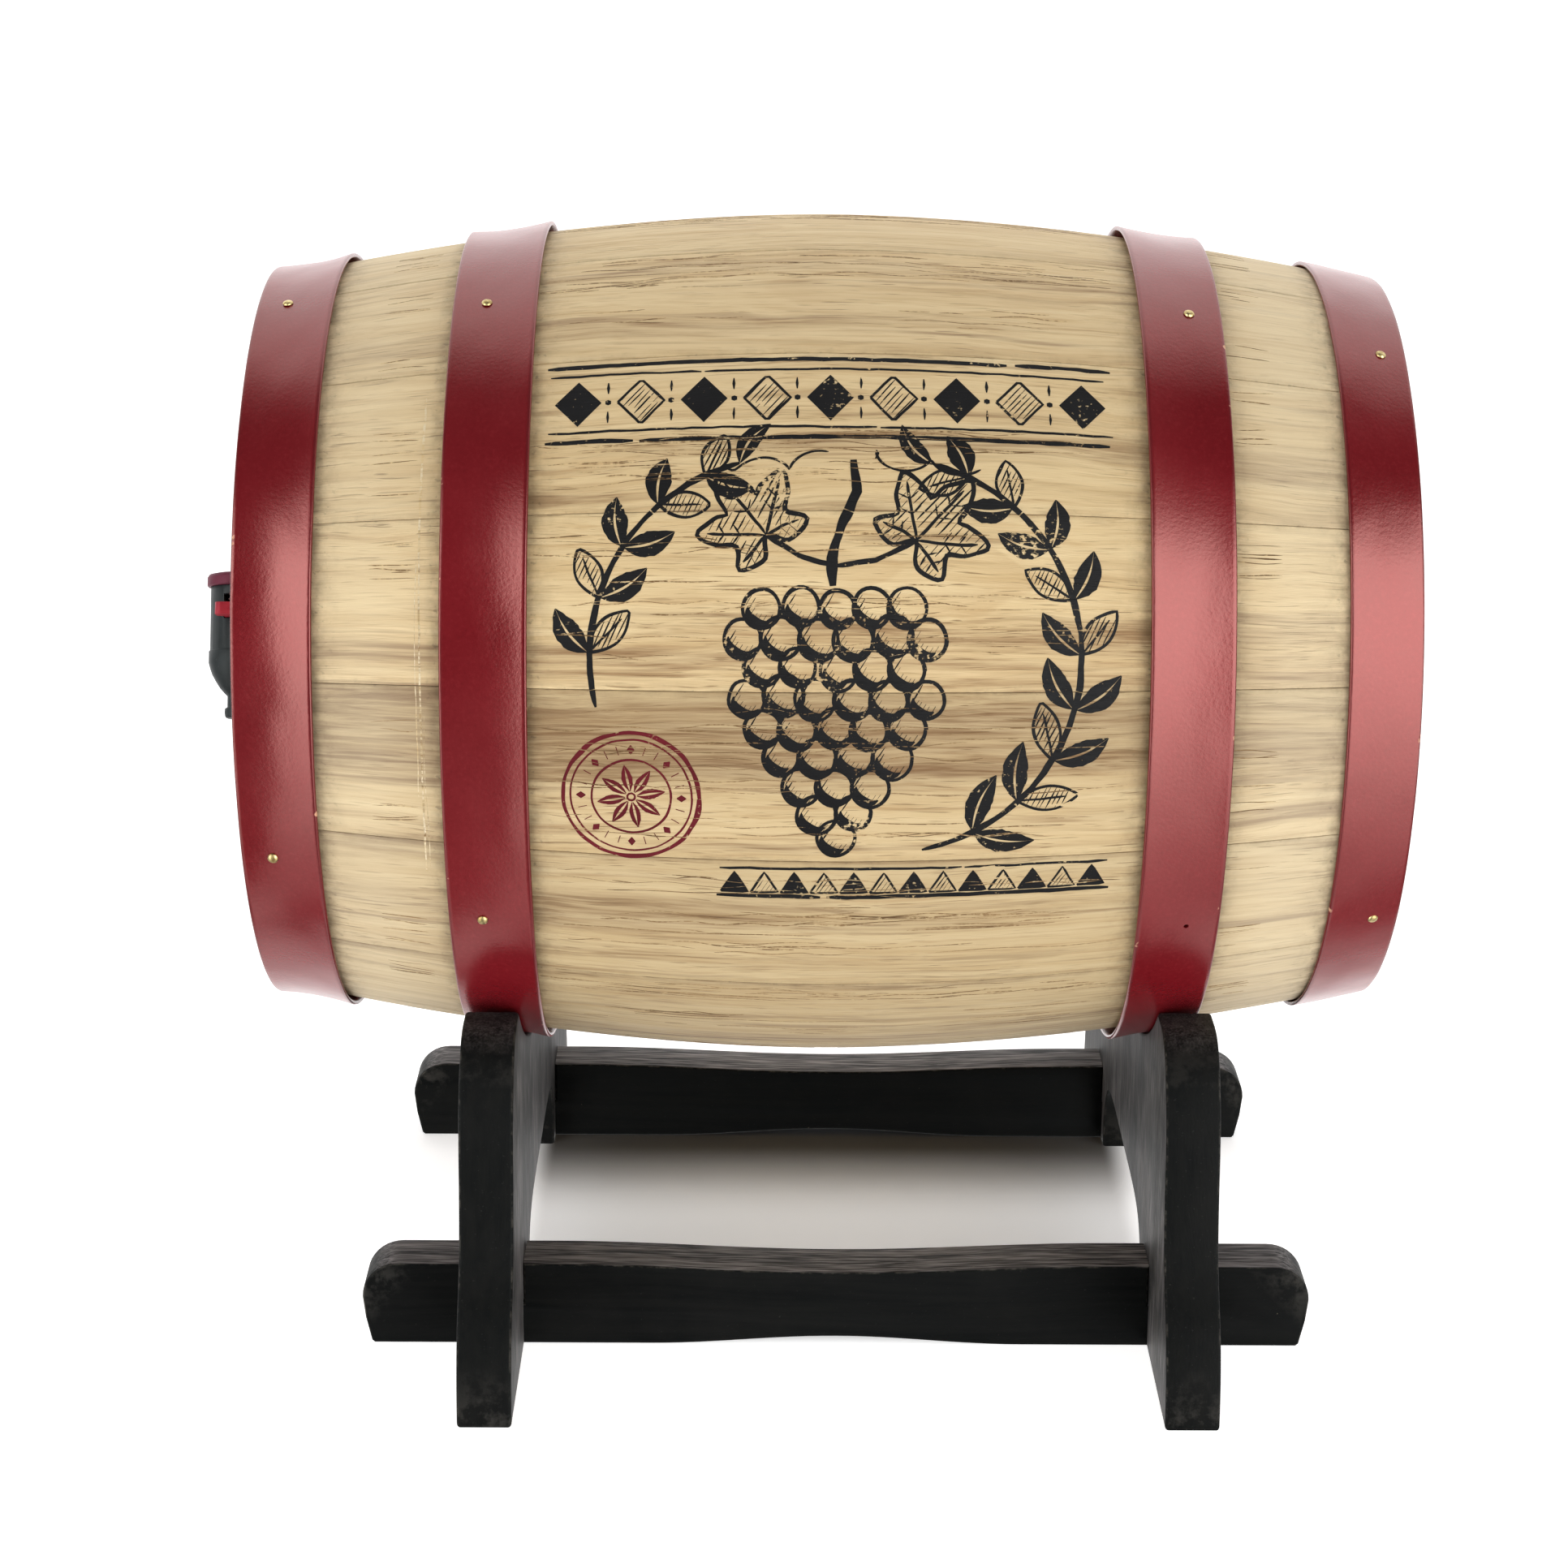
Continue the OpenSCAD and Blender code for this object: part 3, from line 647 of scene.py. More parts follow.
# ---------------------------------------------------------------- staves
def tone_at(k, phi, x):
    """Brown streaks, brightness and greyness of each stave. The staves low on the near side, 13 to 16, are darker,
    partly as painted shade, and the greyness that rises towards the top staves is partly painted sheen.
    """
    table = {1: (0.12, 1.03, 0.05), 2: (0.05, 1.02, 0.10), 3: (0.05, 1.03, 0.22), 4: (-0.1, 1.01, 0.30),
             16: (0.42, 0.90, 0.0), 15: (0.16, 0.74, 0.05), 14: (0.2, 0.74, 0.15), 13: (0.1, 0.70, 0.15),
             5: (0.1, 0.98, 0.2), 6: (0.3, 0.95, 0.05), 7: (0.0, 1.0, 0.1), 8: (0.2, 0.97, 0.0),
             9: (-0.1, 1.0, 0.2), 10: (0.35, 0.95, 0.1), 11: (0.05, 0.98, 0.0), 12: (0.15, 0.93, 0.15)}
    s, b, g = table[k]
    if k == 16:
        # a brown upper half over a pale lower one
        t = (phi + 14.3) / 22.5
        s = 0.62 * max(0.0, min(1.0, (t - 0.42) / 0.22)) - 0.35 * max(0.0, min(1.0, (0.45 - t) / 0.2)) + 0.05
        b = 0.80 + 0.02 * max(0.0, min(1.0, (0.5 - t) / 0.2))
    if k == 1:
        t = (phi - 8.2) / 22.5
        s = 0.45 * max(0.0, min(1.0, (0.42 - t) / 0.3)) + 0.02
    if k == 15:
        t = (phi + 36.8) / 22.5
        s = 0.5 * max(0.0, min(1.0, (t - 0.82) / 0.15)) + 0.05
    return s + 0.42 * marks_at(x, phi), b, g


MARKS = [(-148, -2.5, 22, 1.6, 2.2), (-118, -6.0, 30, 2.4, 0.9), (-126, -14.6, 24, 1.1, 2.6), (-140, 6.6, 26, 1.3, 2.4),
         (-110, 7.8, 14, 0.8, 2.0), (150, -9.5, 22, 1.5, 2.4), (128, -11.5, 18, 1.2, 2.0), (140, -3.0, 30, 2.0, 1.2),
         (60, 5.5, 60, 1.6, 1.6), (-20, 6.0, 50, 1.3, 1.2), (-60, -1.0, 40, 2.2, 1.5), (20, -3.5, 60, 1.6, 1.6),
         (75, -8.5, 40, 1.3, 1.5), (-30, -13.2, 40, 1.0, 2.0), (40, -24.5, 50, 1.0, 1.4), (-60, -22.0, 46, 1.1, 1.6),
         (30, 27.0, 50, 1.2, 1.4), (-66, 21.0, 30, 1.4, 1.2), (80, 15.0, 36, 1.0, 1.3), (-40, 39.0, 50, 1.3, 1.5),
         (50, 44.5, 50, 1.0, 1.5), (-64, 54.0, 24, 1.5, 1.6), (10, 60.0, 70, 1.5, 1.2), (-50, -42.0, 40, 1.2, 1.6),
         (60, -51.0, 40, 1.2, 1.5), (0, -56.0, 60, 1.2, 1.6), (146, 10.0, 26, 1.6, 1.5), (150, -16.0, 20, 1.4, 2.0),
         (126, -22.0, 22, 1.2, 1.6), (146, -29.0, 26, 1.5, 1.4), (138, 18.5, 30, 1.3, 1.3), (148, 31.0, 26, 1.6, 1.2),
         (128, 1.5, 20, 1.2, 1.8), (154, -7.0, 14, 1.1, 2.0), (-136, -23.0, 30, 1.3, 1.4), (-142, -37.0, 30, 1.5, 1.3),
         (-132, 17.0, 28, 1.2, 1.2), (-146, 28.0, 22, 1.4, 1.0)]


def marks_at(x, phi):
    v = 0.0
    for mx, mp, lx, lp, amp in MARKS:
        p = phi - mp - 0.012 * (x - mx)
        if abs(p) < 3 * lp:
            v += amp * math.exp(-((x - mx) / lx) ** 2 - (p / lp) ** 2)
    return v


def grime_and_shade_at(k, x, phi, tj):
    """Dirt and painted shade beside and under the hoops, dirt in the joints, and a pressed line beside the second hoop.
    """
    g = 0.0
    for name, prof, nails, nx in HOOPS:
        xa, xb = sorted((prof[0][1], prof[2][1]))
        inner, outer = prof[0][1], prof[2][1]
        d_in = abs(x - inner) if not xa <= x <= xb else 0.0
        d_out = abs(x - outer) if not xa <= x <= xb else 0.0
        # painted shade under each hoop, and dirt mixed with painted shade beside its edges
        if xa <= x <= xb:
            g = max(g, 0.9)
        elif abs(x - inner) < abs(x - outer):
            g = max(g, 0.9 * math.exp(-(d_in / 4.4) ** 1.2))
        else:
            g = max(g, 0.7 * math.exp(-(d_out / 2.6) ** 1.1))
        # a narrow dark line at each hoop edge: dirt and painted shadow where the band meets the wood
        if not xa <= x <= xb:
            d = min(abs(x - inner), abs(x - outer))
            g = max(g, 1.25 * math.exp(-(d / 1.9) ** 2))
    g = max(g, 0.55 * math.exp(-tj / 0.7))
    if abs(x) > 172:
        g = max(g, 0.35 * (abs(x) - 172) / 5.5)
    p = math.exp(-((x + 117.6) / 0.7) ** 2) * 0.8 + math.exp(-((x + 121.0) / 0.5) ** 2) * 0.35
    if not -60 < phi < 100:
        p *= 0.5
    return g, p


def x_stations():
    half = [177.5, 177.34, 176.9, 176.1, 173.0, 170.0, 167.0, 164.0, 161.6, 161.5, 159.0, 156.5, 156.4, 153.0, 150.0,
            147.0, 144.0, 140.0]
    x = 137.0
    while x > 1.0:
        half.append(x)
        x -= 3.0
    half[-1] = max(half[-1], 1.5)
    return [-v for v in half] + [0.0] + half[::-1]


INNER = [(110.5, 177.5), (107.0, 167.0), (107.0, 161.6), (110.5, 161.5), (110.5, 156.5), (107.0, 156.4), (107.0, 140.0),
         (bulge(128) - TH, 128), (bulge(100) - TH, 100), (bulge(66) - TH, 66), (bulge(33) - TH, 33), (RM - TH, 0)]
INX = [p[1] for p in INNER][::-1]
INR = [p[0] for p in INNER][::-1]


def inner_r(x):
    r = float(np.interp(abs(x), INX, INR))
    if abs(x) > 177.2:
        r += 0.5
    elif abs(x) > 176.8:
        r += 0.15
    return r


def outer_cut(x):
    a = abs(x)
    return 1.0 if a > 177.45 else 0.5 if a > 177.2 else 0.14 if a > 176.6 else 0.0


HEARTS = {}
COLS = [0.0, 0.05, 0.14, 0.30] + [1.5 * i for i in range(1, 15)]
COLS = COLS + [22.44 - c for c in COLS[:4]][::-1]


def make_stave(k):
    a0 = JOINT + (k - 1) * STEP + 0.03
    xs = x_stations()
    m = len(COLS)
    V, G, T, GR = [], [], [], []
    mid = a0 + 11.22
    rng = random.Random(100 + k)
    for layer in (0, 1):
        for x in xs:
            for c in COLS:
                phi = a0 + c
                tj = min(c, 22.44 - c) * 2.3
                if layer == 0:
                    cut = 0.20 * math.exp(-tj / 0.14)
                    r = bulge(x) - outer_cut(x) - cut + stave_wave(k, x, phi)
                else:
                    r = inner_r(x)
                V.append(to_row(x, r, phi))
                G.append((x * MM, (phi - mid) * rad(1) * 125 * MM, (r - bulge(x)) * MM))
                ph = (phi + 180) % 360 - 180
                T.append(tone_at(k, ph, x))
                g, p = grime_and_shade_at(k, x, ph, tj) if layer == 0 else (0.15, 0.0)
                e = max(0.0, min(1.0, (abs(x) - 105.0) / 30.0)) if layer == 0 else 0.0
                GR.append((g, p, e * (0.75 if x < 0 else 1.0)))
    n = len(xs)
    F = []
    off = n * m
    for i in range(n - 1):
        for j in range(m - 1):
            a = i * m + j
            F.append((a, a + 1, a + m + 1, a + m))
            F.append((off + a, off + a + m, off + a + m + 1, off + a + 1))
        a = i * m
        F.append((a, a + m, off + a + m, off + a))
        a = i * m + m - 1
        F.append((a, off + a, off + a + m, a + m))
    for i in (0, n - 1):
        for j in range(m - 1):
            a = i * m + j
            F.append((a, off + a, off + a + 1, a + 1))
    N = len(V)
    heart = (rng.uniform(-0.02, 0.02), -rng.uniform(0.018, 0.07), rng.uniform(-0.07, 0.07))
    if k in (2, 3, 4):
        heart = (rng.uniform(-0.006, 0.006), -0.022 - 0.006 * k, (0.06, -0.05, 0.07)[k - 2])
    HEARTS[k] = heart
    attrs = {"gcoord": G, "seed": [k * 1.0 + 0.37] * N, "tone": T, "grime_and_shade": GR, "heart": [heart] * N}
    return make(f"oak_stave_{k:02d}", V, F, OAK, "cask", [f"stave_{k:02d}"], attrs, smooth=40)


def cut_with(ob, V, F):
    """Takes a closed shape, in mm, out of a piece."""
    me = bpy.data.meshes.new("cutter")
    me.from_pydata((np.asarray(V, float) * MM).tolist(), [], F)
    bm = bmesh.new()
    bm.from_mesh(me)
    bmesh.ops.recalc_face_normals(bm, faces=bm.faces)
    bm.to_mesh(me)
    bm.free()
    tool = bpy.data.objects.new("cutter", me)
    bpy.context.scene.collection.objects.link(tool)
    mod = ob.modifiers.new("hole", "BOOLEAN")
    mod.operation, mod.solver, mod.object = "DIFFERENCE", "EXACT", tool
    bpy.context.view_layer.update()
    dg = bpy.context.evaluated_depsgraph_get()
    new = bpy.data.meshes.new_from_object(ob.evaluated_get(dg))
    old = ob.data
    ob.modifiers.clear()
    ob.data = new
    new.name = old.name
    bpy.data.meshes.remove(old)
    bpy.data.objects.remove(tool)
    bpy.data.meshes.remove(me)
    return ob


def skin(x, r, phi, lean=0.0):
    """A frame on the cask's skin, +Z outwards, tipped along X by lean degrees."""
    a, l = rad(phi), rad(lean)
    n = Vector((math.sin(l), -math.cos(l) * math.cos(a), math.cos(l) * math.sin(a)))
    return frame_at(to_row(x, r, phi), n, (1, 0, 0))


def band_r(prof, x):
    a, b, c = prof
    if abs(x) < abs(b[1]):
        return a[0] + (b[0] - a[0]) * (x - a[1]) / (b[1] - a[1])
    return b[0] + (c[0] - b[0]) * (x - b[1]) / (c[1] - b[1])


def band_lean(prof):
    return -math.degrees(math.atan((prof[2][0] - prof[1][0]) / (prof[2][1] - prof[1][1])))


staves = {k: make_stave(k) for k in range(1, 17)}


# ---------------------------------------------------------------- hoops
def band_section(prof, lift=0.0, n=9):
    """Closed section of a flared band: points (r, x) and edge values."""
    c = []
    (ra, xa), (rb, xb), (rc, xc) = prof
    for i in range(2 * n + 1):
        t = i / (2 * n)
        x = xa + (xc - xa) * t
        # a smooth curve that passes close to the three given radii
        u = (x - xa) / (xb - xa) if (x - xa) / (xb - xa) < 1 else 1 + (x - xb) / (xc - xb)
        l0 = (u - 1) * (u - 2) / 2
        l1 = -u * (u - 2)
        l2 = u * (u - 1) / 2
        c.append((ra * l0 + rb * l1 + rc * l2 + lift, x))
    c = np.array(c)
    d = np.gradient(c, axis=0)
    d /= np.linalg.norm(d, axis=1, keepdims=True)
    nr = np.stack([np.abs(d[:, 1]), -d[:, 0] * np.sign(d[:, 1])], 1)     # outwards in r
    top, low = c, c - nr * HT
    e = HT / 2
    pts, ed = [], []
    for i, p in enumerate(top):
        q = p.copy()
        if i == 0:
            q = p + d[0] * 0.45
        elif i == len(top) - 1:
            q = p - d[-1] * 0.45
        pts.append(q)
        ed.append(1.0 if i in (0, len(top) - 1) else 0.0)
    # round the far edge
    mid = (top[-1] + low[-1]) / 2
    for a in (55, 20, -20, -55):
        pts.append(mid + nr[-1] * e * math.sin(rad(a)) * 0.98 - d[-1] * (0.45 - 0.45 * math.cos(rad(a))) * 1.0)
        ed.append(1.0)
    for i, p in list(enumerate(low))[::-1]:
        q = p.copy()
        if i == 0:
            q = p + d[0] * 0.45
        elif i == len(low) - 1:
            q = p - d[-1] * 0.45
        pts.append(q)
        ed.append(1.0 if i in (0, len(top) - 1) else 0.0)
    mid = (top[0] + low[0]) / 2
    for a in (-55, -20, 20, 55):
        pts.append(mid + nr[0] * e * math.sin(rad(a)) * 0.98 + d[0] * (0.45 - 0.45 * math.cos(rad(a))))
        ed.append(1.0)
    return np.array(pts), ed


def hoop_wave(h, phi, x, prof):
    """How the beaten band wanders from a true circle, in mm."""
    a = rad(phi)
    t = (x - prof[0][1]) / (prof[2][1] - prof[0][1])
    c, s = math.cos(a), math.sin(a)
    v = 0.34 * nz(c * 2.9 + h * 3.1, s * 2.9, t * 1.1 + h * 5.3)
    v += 0.16 * nz(c * 7.0 + h * 1.7, s * 7.0 + 4.0, t * 2.2)
    v += 0.05 * nz(c * 17.0 + h * 1.7, s * 17.0 + 9.0, t * 4.0)
    return v + 0.02


def make_hoop(h):
    name, prof, nails, nx = HOOPS[h]
    pts, ed = band_section(prof)
    n, m = 300, len(pts)
    V, E = [], []
    for i in range(n):
        phi = 360.0 * i / n
        for (r, x), e in zip(pts, ed):
            V.append(to_row(x, r + hoop_wave(h, phi, x, prof), phi))
            E.append(e)
    F = tube_faces(n, m, wrap=True)
    # the overlapping end
    pts2, ed2 = band_section(prof, HT - 0.12)
    phis = [178.0, 178.12, 178.3] + [179 + i for i in range(0, 16)] + [194.7, 194.88, 195.0]
    base = len(V)
    cen = pts2.mean(0)
    for i, phi in enumerate(phis):
        k = 0.35 if i in (0, len(phis) - 1) else 0.12 if i in (1, len(phis) - 2) else 0.0
        for (r, x), e in zip(pts2, ed2):
            lo = band_section_mid(prof, x) + HT - 0.12 - HT / 2
            rr = r + (lo - r) * k * 0.9
            xx = x + (cen[1] - x) * k * 0.03
            V.append(to_row(xx, rr + hoop_wave(h, phi, x, prof), phi))
            E.append(max(e, 1.0 if k else 0.0))
    F += tube_faces(len(phis), m, base=base)
    ob = make("painted_" + name, V, F, PAINT, "cask", [name], {"edge": E}, smooth=50)
    return ob


def band_section_mid(prof, x):
    return band_r(prof, x)


hoops = [make_hoop(h) for h in range(4)]

# the empty nail hole of the third hoop
_prof = HOOPS[2][1]
_m = skin(109.7, band_r(_prof, 109.7), -27.2, band_lean(_prof))
_V, _F = lathe([(0, -1.9), (0.82, -1.9), (0.82, 0.0), (1.0, 0.25), (1.3, 1.5), (0, 1.5)], 20)
cut_with(hoops[2], [tuple(_m @ Vector(p)) for p in _V], _F)
_m = skin(109.7, bulge(109.7), -27.2, 6.0)
_V, _F = lathe([(0, -6.0), (0.9, -6.0), (0.9, 3.0), (0, 3.0)], 20)
cut_with(staves[15], [tuple(_m @ Vector(p)) for p in _V], _F)


def make_nails():
    B = Build()
    rng = random.Random(7)
    prof = [(0, -8.4), (0.35, -8.0), (0.68, -6.6), (0.68, -0.1), (1.45, -0.06), (1.66, 0.10), (1.62, 0.32), (1.36, 0.62),
            (0.95, 0.84), (0.5, 0.95), (0, 0.98)]
    for h, (name, p, nails, nx) in enumerate(HOOPS):
        for i, phi in enumerate(nails):
            if (h, i) == (2, 1):
                continue
            sink = -0.28 if (h, i) == (3, 1) else rng.uniform(-0.06, 0.03)
            M = skin(nx, band_r(p, nx) + hoop_wave(h, phi, nx, p) + sink, phi, band_lean(p))
            M = M @ Matrix.Rotation(rad(rng.uniform(-5, 5)), 4, "X") @ Matrix.Rotation(rad(rng.uniform(-5, 5)), 4, "Y")
            s1, s2 = rng.uniform(0, 9), rng.uniform(0, 9)

            def wob(a, z, r, s1=s1, s2=s2):
                if z < 0:
                    return 0.0
                return 0.07 * nz(math.cos(a) * 1.6 + s1, math.sin(a) * 1.6 + s2, z)
            V, F = lathe(prof, 28, wob)
            B.add(V, F, M)
    return make("brass_hoop_nails", B.V, B.F, BRASS, "cask", ["hoop_nails"], smooth=40)


make_nails()


def make_rivets():
    B = Build()
    prof = [(0, -2.4), (1.4, -2.4), (1.4, 0.0), (2.4, 0.02), (2.62, 0.18), (2.55, 0.55), (2.15, 0.92), (1.5, 1.16), (0.8, 1.26), (0, 1.28)]
    for h, (name, p, nails, nx) in enumerate(HOOPS):
        lx = (p[1][1] + p[2][1]) / 2
        for phi in (182, 191):
            M = skin(lx, band_r(p, lx) + hoop_wave(h, phi, lx, p) + HT - 0.12, phi, band_lean(p))
            V, F = lathe(prof, 28)
            B.add(V, F, M, edge=[0.9 if abs(q[2] - 0.18) < 0.2 or q[2] > 1.2 else 0.15 for q in V])
    return make("painted_hoop_rivets", B.V, B.F, PAINT, "cask", ["hoop_rivets"], {"edge": B.A["edge"]}, smooth=45)


make_rivets()


# ---------------------------------------------------------------- the printed ornament
JOINTS = [(JOINT + STEP * n) / 360 * 2 * math.pi * 135 for n in range(-9, 9)]
MM_DEG = 135 * math.pi / 180


class Print:
    """Ink on the cask's near side. Shapes are drawn in X along the cask and s round it, in mm."""

    def __init__(self, seed):
        self.V, self.F = [], []
        self.G, self.S, self.T, self.H = [], [], [], []
        self.rng = random.Random(seed)

    def ribbon(self, pts, width, cols=1, top=0.045, low=-0.16):
        P = np.asarray(pts, float)
        n = len(P)
        if n < 2:
            return
        W = np.full(n, float(width)) if np.isscalar(width) else np.asarray(width, float)
        t = np.gradient(P, axis=0)
        t /= np.maximum(np.linalg.norm(t, axis=1, keepdims=True), 1e-9)
        nn = np.stack([-t[:, 1], t[:, 0]], 1)
        k = stave_of(P[:, 1].mean() / MM_DEG)
        mid = JOINT + (k - 1) * STEP + 11.25
        base = len(self.V)
        offs = np.linspace(-0.5, 0.5, cols + 1)
        order = [(o, top) for o in offs] + [(o, low) for o in offs[::-1]]
        tone = None
        for i in range(n):
            for o, d in order:
                x, s = P[i] + nn[i] * W[i] * o
                phi = s / MM_DEG
                kk = stave_of(phi)
                self.V.append(to_row(x, bulge(x) + stave_wave(kk, x, phi) + d, phi))
                dphi = (phi - mid + 180.0) % 360.0 - 180.0
                self.G.append((x * MM, dphi * rad(1) * 125 * MM, 0.0))
                ph = (phi + 180) % 360 - 180
                if tone is None:
                    tone = tone_at(k, ph, x)
                self.T.append(tone)
                self.S.append(k + 0.37)
                self.H.append(HEARTS[k])
        self.F += tube_faces(n, 2 * (cols + 1), base=base)

    def line(self, pts, width, taper=0.35, wob=0.18, step=1.6, close=False, wide=0.18):
        """A hand-drawn stroke: it wavers, swells a little, and breaks at the joints between staves."""
        r = self.rng
        P = np.asarray(pts, float)
        if close:
            P = np.vstack([P, P[:1]])
        seg = np.linalg.norm(np.diff(P, axis=0), axis=1)
        L = np.concatenate([[0], np.cumsum(seg)])
        if L[-1] < 0.6:
            return
        m = max(2, int(L[-1] / step) + 1)
        u = np.linspace(0, L[-1], m)
        a, b, c = r.uniform(0, 50), r.uniform(0, 50), r.uniform(0, 50)
        out = []
        for q in u:
            x, y = np.interp(q, L, P[:, 0]), np.interp(q, L, P[:, 1])
            out.append((x + wob * nz(q / 5.0, a, 0.0) * 1.6, y + wob * nz(q / 5.0, b, 3.0) * 1.6, width * (1 + wide * 1.6 * nz(q / 7.0, c, 6.0))))
        out = np.array(out)
        if not close and taper:
            e = np.minimum(u, L[-1] - u) / max(1.6 * width, 0.8)
            out[:, 2] *= np.clip(taper + (1 - taper) * e, taper, 1)
        cuts = [0]
        parts = []
        start = 0
        for i in range(m - 1):
            for j in JOINTS:
                if (out[i, 1] - j) * (out[i + 1, 1] - j) < 0:
                    f = (j - out[i, 1]) / (out[i + 1, 1] - out[i, 1])
                    g = 0.15 / max(abs(out[i + 1, 1] - out[i, 1]), 1e-3)
                    p0 = out[i] + (out[i + 1] - out[i]) * max(0.0, f - g)
                    p1 = out[i] + (out[i + 1] - out[i]) * min(1.0, f + g)
                    parts.append(np.vstack([out[start:i + 1], p0[None]]))
                    out[i] = p1
                    start = i
        parts.append(out[start:])
        for q in parts:
            d = np.concatenate([[1.0], np.linalg.norm(np.diff(q[:, :2], axis=0), axis=1)])
            q = q[d > 1e-4]
            if len(q) > 1:
                self.ribbon(q[:, :2], q[:, 2])

    def hatch(self, poly, angle, gap, width, skip=0.10, holes=(), trim=0.25):
        """Slanting pen strokes inside an outline, clear of the holes."""
        r = self.rng
        polys = [np.asarray(poly, float)] + [np.asarray(h, float) for h in holes]
        c = polys[0].mean(0)
        R = np.linalg.norm(polys[0] - c, axis=1).max() + 1
        ca, sa = math.cos(rad(angle)), math.sin(rad(angle))
        n = int(2 * R / gap)
        for i in range(n + 1):
            d = -R + i * gap + r.uniform(-0.16, 0.16) * gap
            q = np.arange(-R, R, 0.5)
            tilt = r.uniform(-0.03, 0.03)
            X = c[0] + q * ca - (d + tilt * q) * sa
            Y = c[1] + q * sa + (d + tilt * q) * ca
            ins = inside(polys[0], X, Y)
            for h in polys[1:]:
                ins &= ~inside(h, X, Y)
            j = 0
            while j < len(q):
                if ins[j]:
                    e = j
                    while e + 1 < len(q) and ins[e + 1]:
                        e += 1
                    if (e - j) * 0.5 > 0.9:
                        a = j + (r.random() < 0.5) * int(r.uniform(0, trim) * (e - j))
                        b = e - (r.random() < 0.4) * int(r.uniform(0, trim) * (e - j))
                        pieces = [(a, b)]
                        if r.random() < skip and b - a > 12:
                            m = r.randint(a + 4, b - 4)
                            pieces = [(a, m - 1), (m + 1, b)]
                        for a2, b2 in pieces:
                            if b2 > a2:
                                self.line([(X[a2], Y[a2]), (X[b2], Y[b2])], width * r.uniform(0.8, 1.15), wob=0.10, step=2.2)
                    j = e + 1
                else:
                    j += 1

    def leaf(self, p, q, w, bend=0.12, fringe=True):
        """A solid leaf from p to q with a ragged edge."""
        r = self.rng
        p, q = np.asarray(p, float), np.asarray(q, float)
        d = q - p
        nrm = np.array([-d[1], d[0]])
        n = 15
        t = np.linspace(0.0, 1.0, n)
        P = p + np.outer(t, d) + np.outer(np.sin(t * math.pi) * bend, nrm)
        W = w * np.power(np.sin(np.clip(t, 0.012, 0.988) * math.pi), 0.85) * (1.12 - 0.3 * t)
        W = W * (1 + 0.07 * np.array([r.uniform(-1, 1) for _ in range(n)]))
        W[0], W[-1] = 0.5, 0.25
        # two halves with the bare midrib between them
        t1 = np.gradient(P, axis=0)
        t1 /= np.linalg.norm(t1, axis=1, keepdims=True)
        nn = np.stack([-t1[:, 1], t1[:, 0]], 1)
        rib = 0.34 * np.sin(np.clip(t * 1.2, 0, 1) * math.pi) + 0.02
        for sgn in (1, -1):
            wid = np.maximum(W / 2 - rib, 0.12)
            C = P + nn * (sgn * (rib + wid / 2))[:, None]
            self.ribbon(C, wid, cols=2 if w > 5 else 1)

    def outline_mesh(self, name, mat):
        ob = make(name, self.V, self.F, mat, "cask", attrs={"gcoord": self.G, "seed": self.S, "tone": self.T, "heart": self.H},
                  smooth=30, recalc=True)
        return ob


def inside(poly, X, Y):
    out = np.zeros(len(X), bool)
    x0, y0 = poly[:, 0], poly[:, 1]
    x1, y1 = np.roll(x0, -1), np.roll(y0, -1)
    for a, b, c, d in zip(x0, y0, x1, y1):
        if b == d:
            continue
        cond = ((b > Y) != (d > Y)) & (X < (c - a) * (Y - b) / (d - b) + a)
        out ^= cond
    return out


def circle(cx, cy, r, n=28, squash=1.0, rot=0.0):
    out = []
    for i in range(n):
        a = 2 * math.pi * i / n
        x, y = r * math.cos(a), r * squash * math.sin(a)
        out.append((cx + x * math.cos(rot) - y * math.sin(rot), cy + x * math.sin(rot) + y * math.cos(rot)))
    return out


def vine_leaf(cx, cy, size, rot):
    """Outline of a five-lobed leaf and the tips of its veins."""
    lobes = [(90, 1.0), (30, 0.92), (-28, 0.70), (-152, 0.70), (150, 0.92)]
    keys = []
    seq = [(-90, 0.16), (-62, 0.50), (-28, 0.72), (-4, 0.46), (14, 0.70), (31, 0.95), (50, 0.66), (60, 0.52), (74, 0.78), (90, 1.04),
           (106, 0.78), (120, 0.52), (130, 0.66), (149, 0.95), (166, 0.70), (184, 0.46), (208, 0.72), (242, 0.50)]
    for a, r in seq:
        t = rad(a + rot)
        keys.append((cx + size * r * math.cos(t), cy + size * r * math.sin(t)))
    tips = [(cx + size * r * 0.86 * math.cos(rad(a + rot)), cy + size * r * 0.86 * math.sin(rad(a + rot))) for a, r in lobes]
    root = (cx + size * 0.16 * math.cos(rad(-90 + rot)), cy + size * 0.16 * math.sin(rad(-90 + rot)))
    out = [p[:2] for p in smooth_poly([(x, y, 0) for x, y in keys], 5, closed=True)]
    return out, tips, root


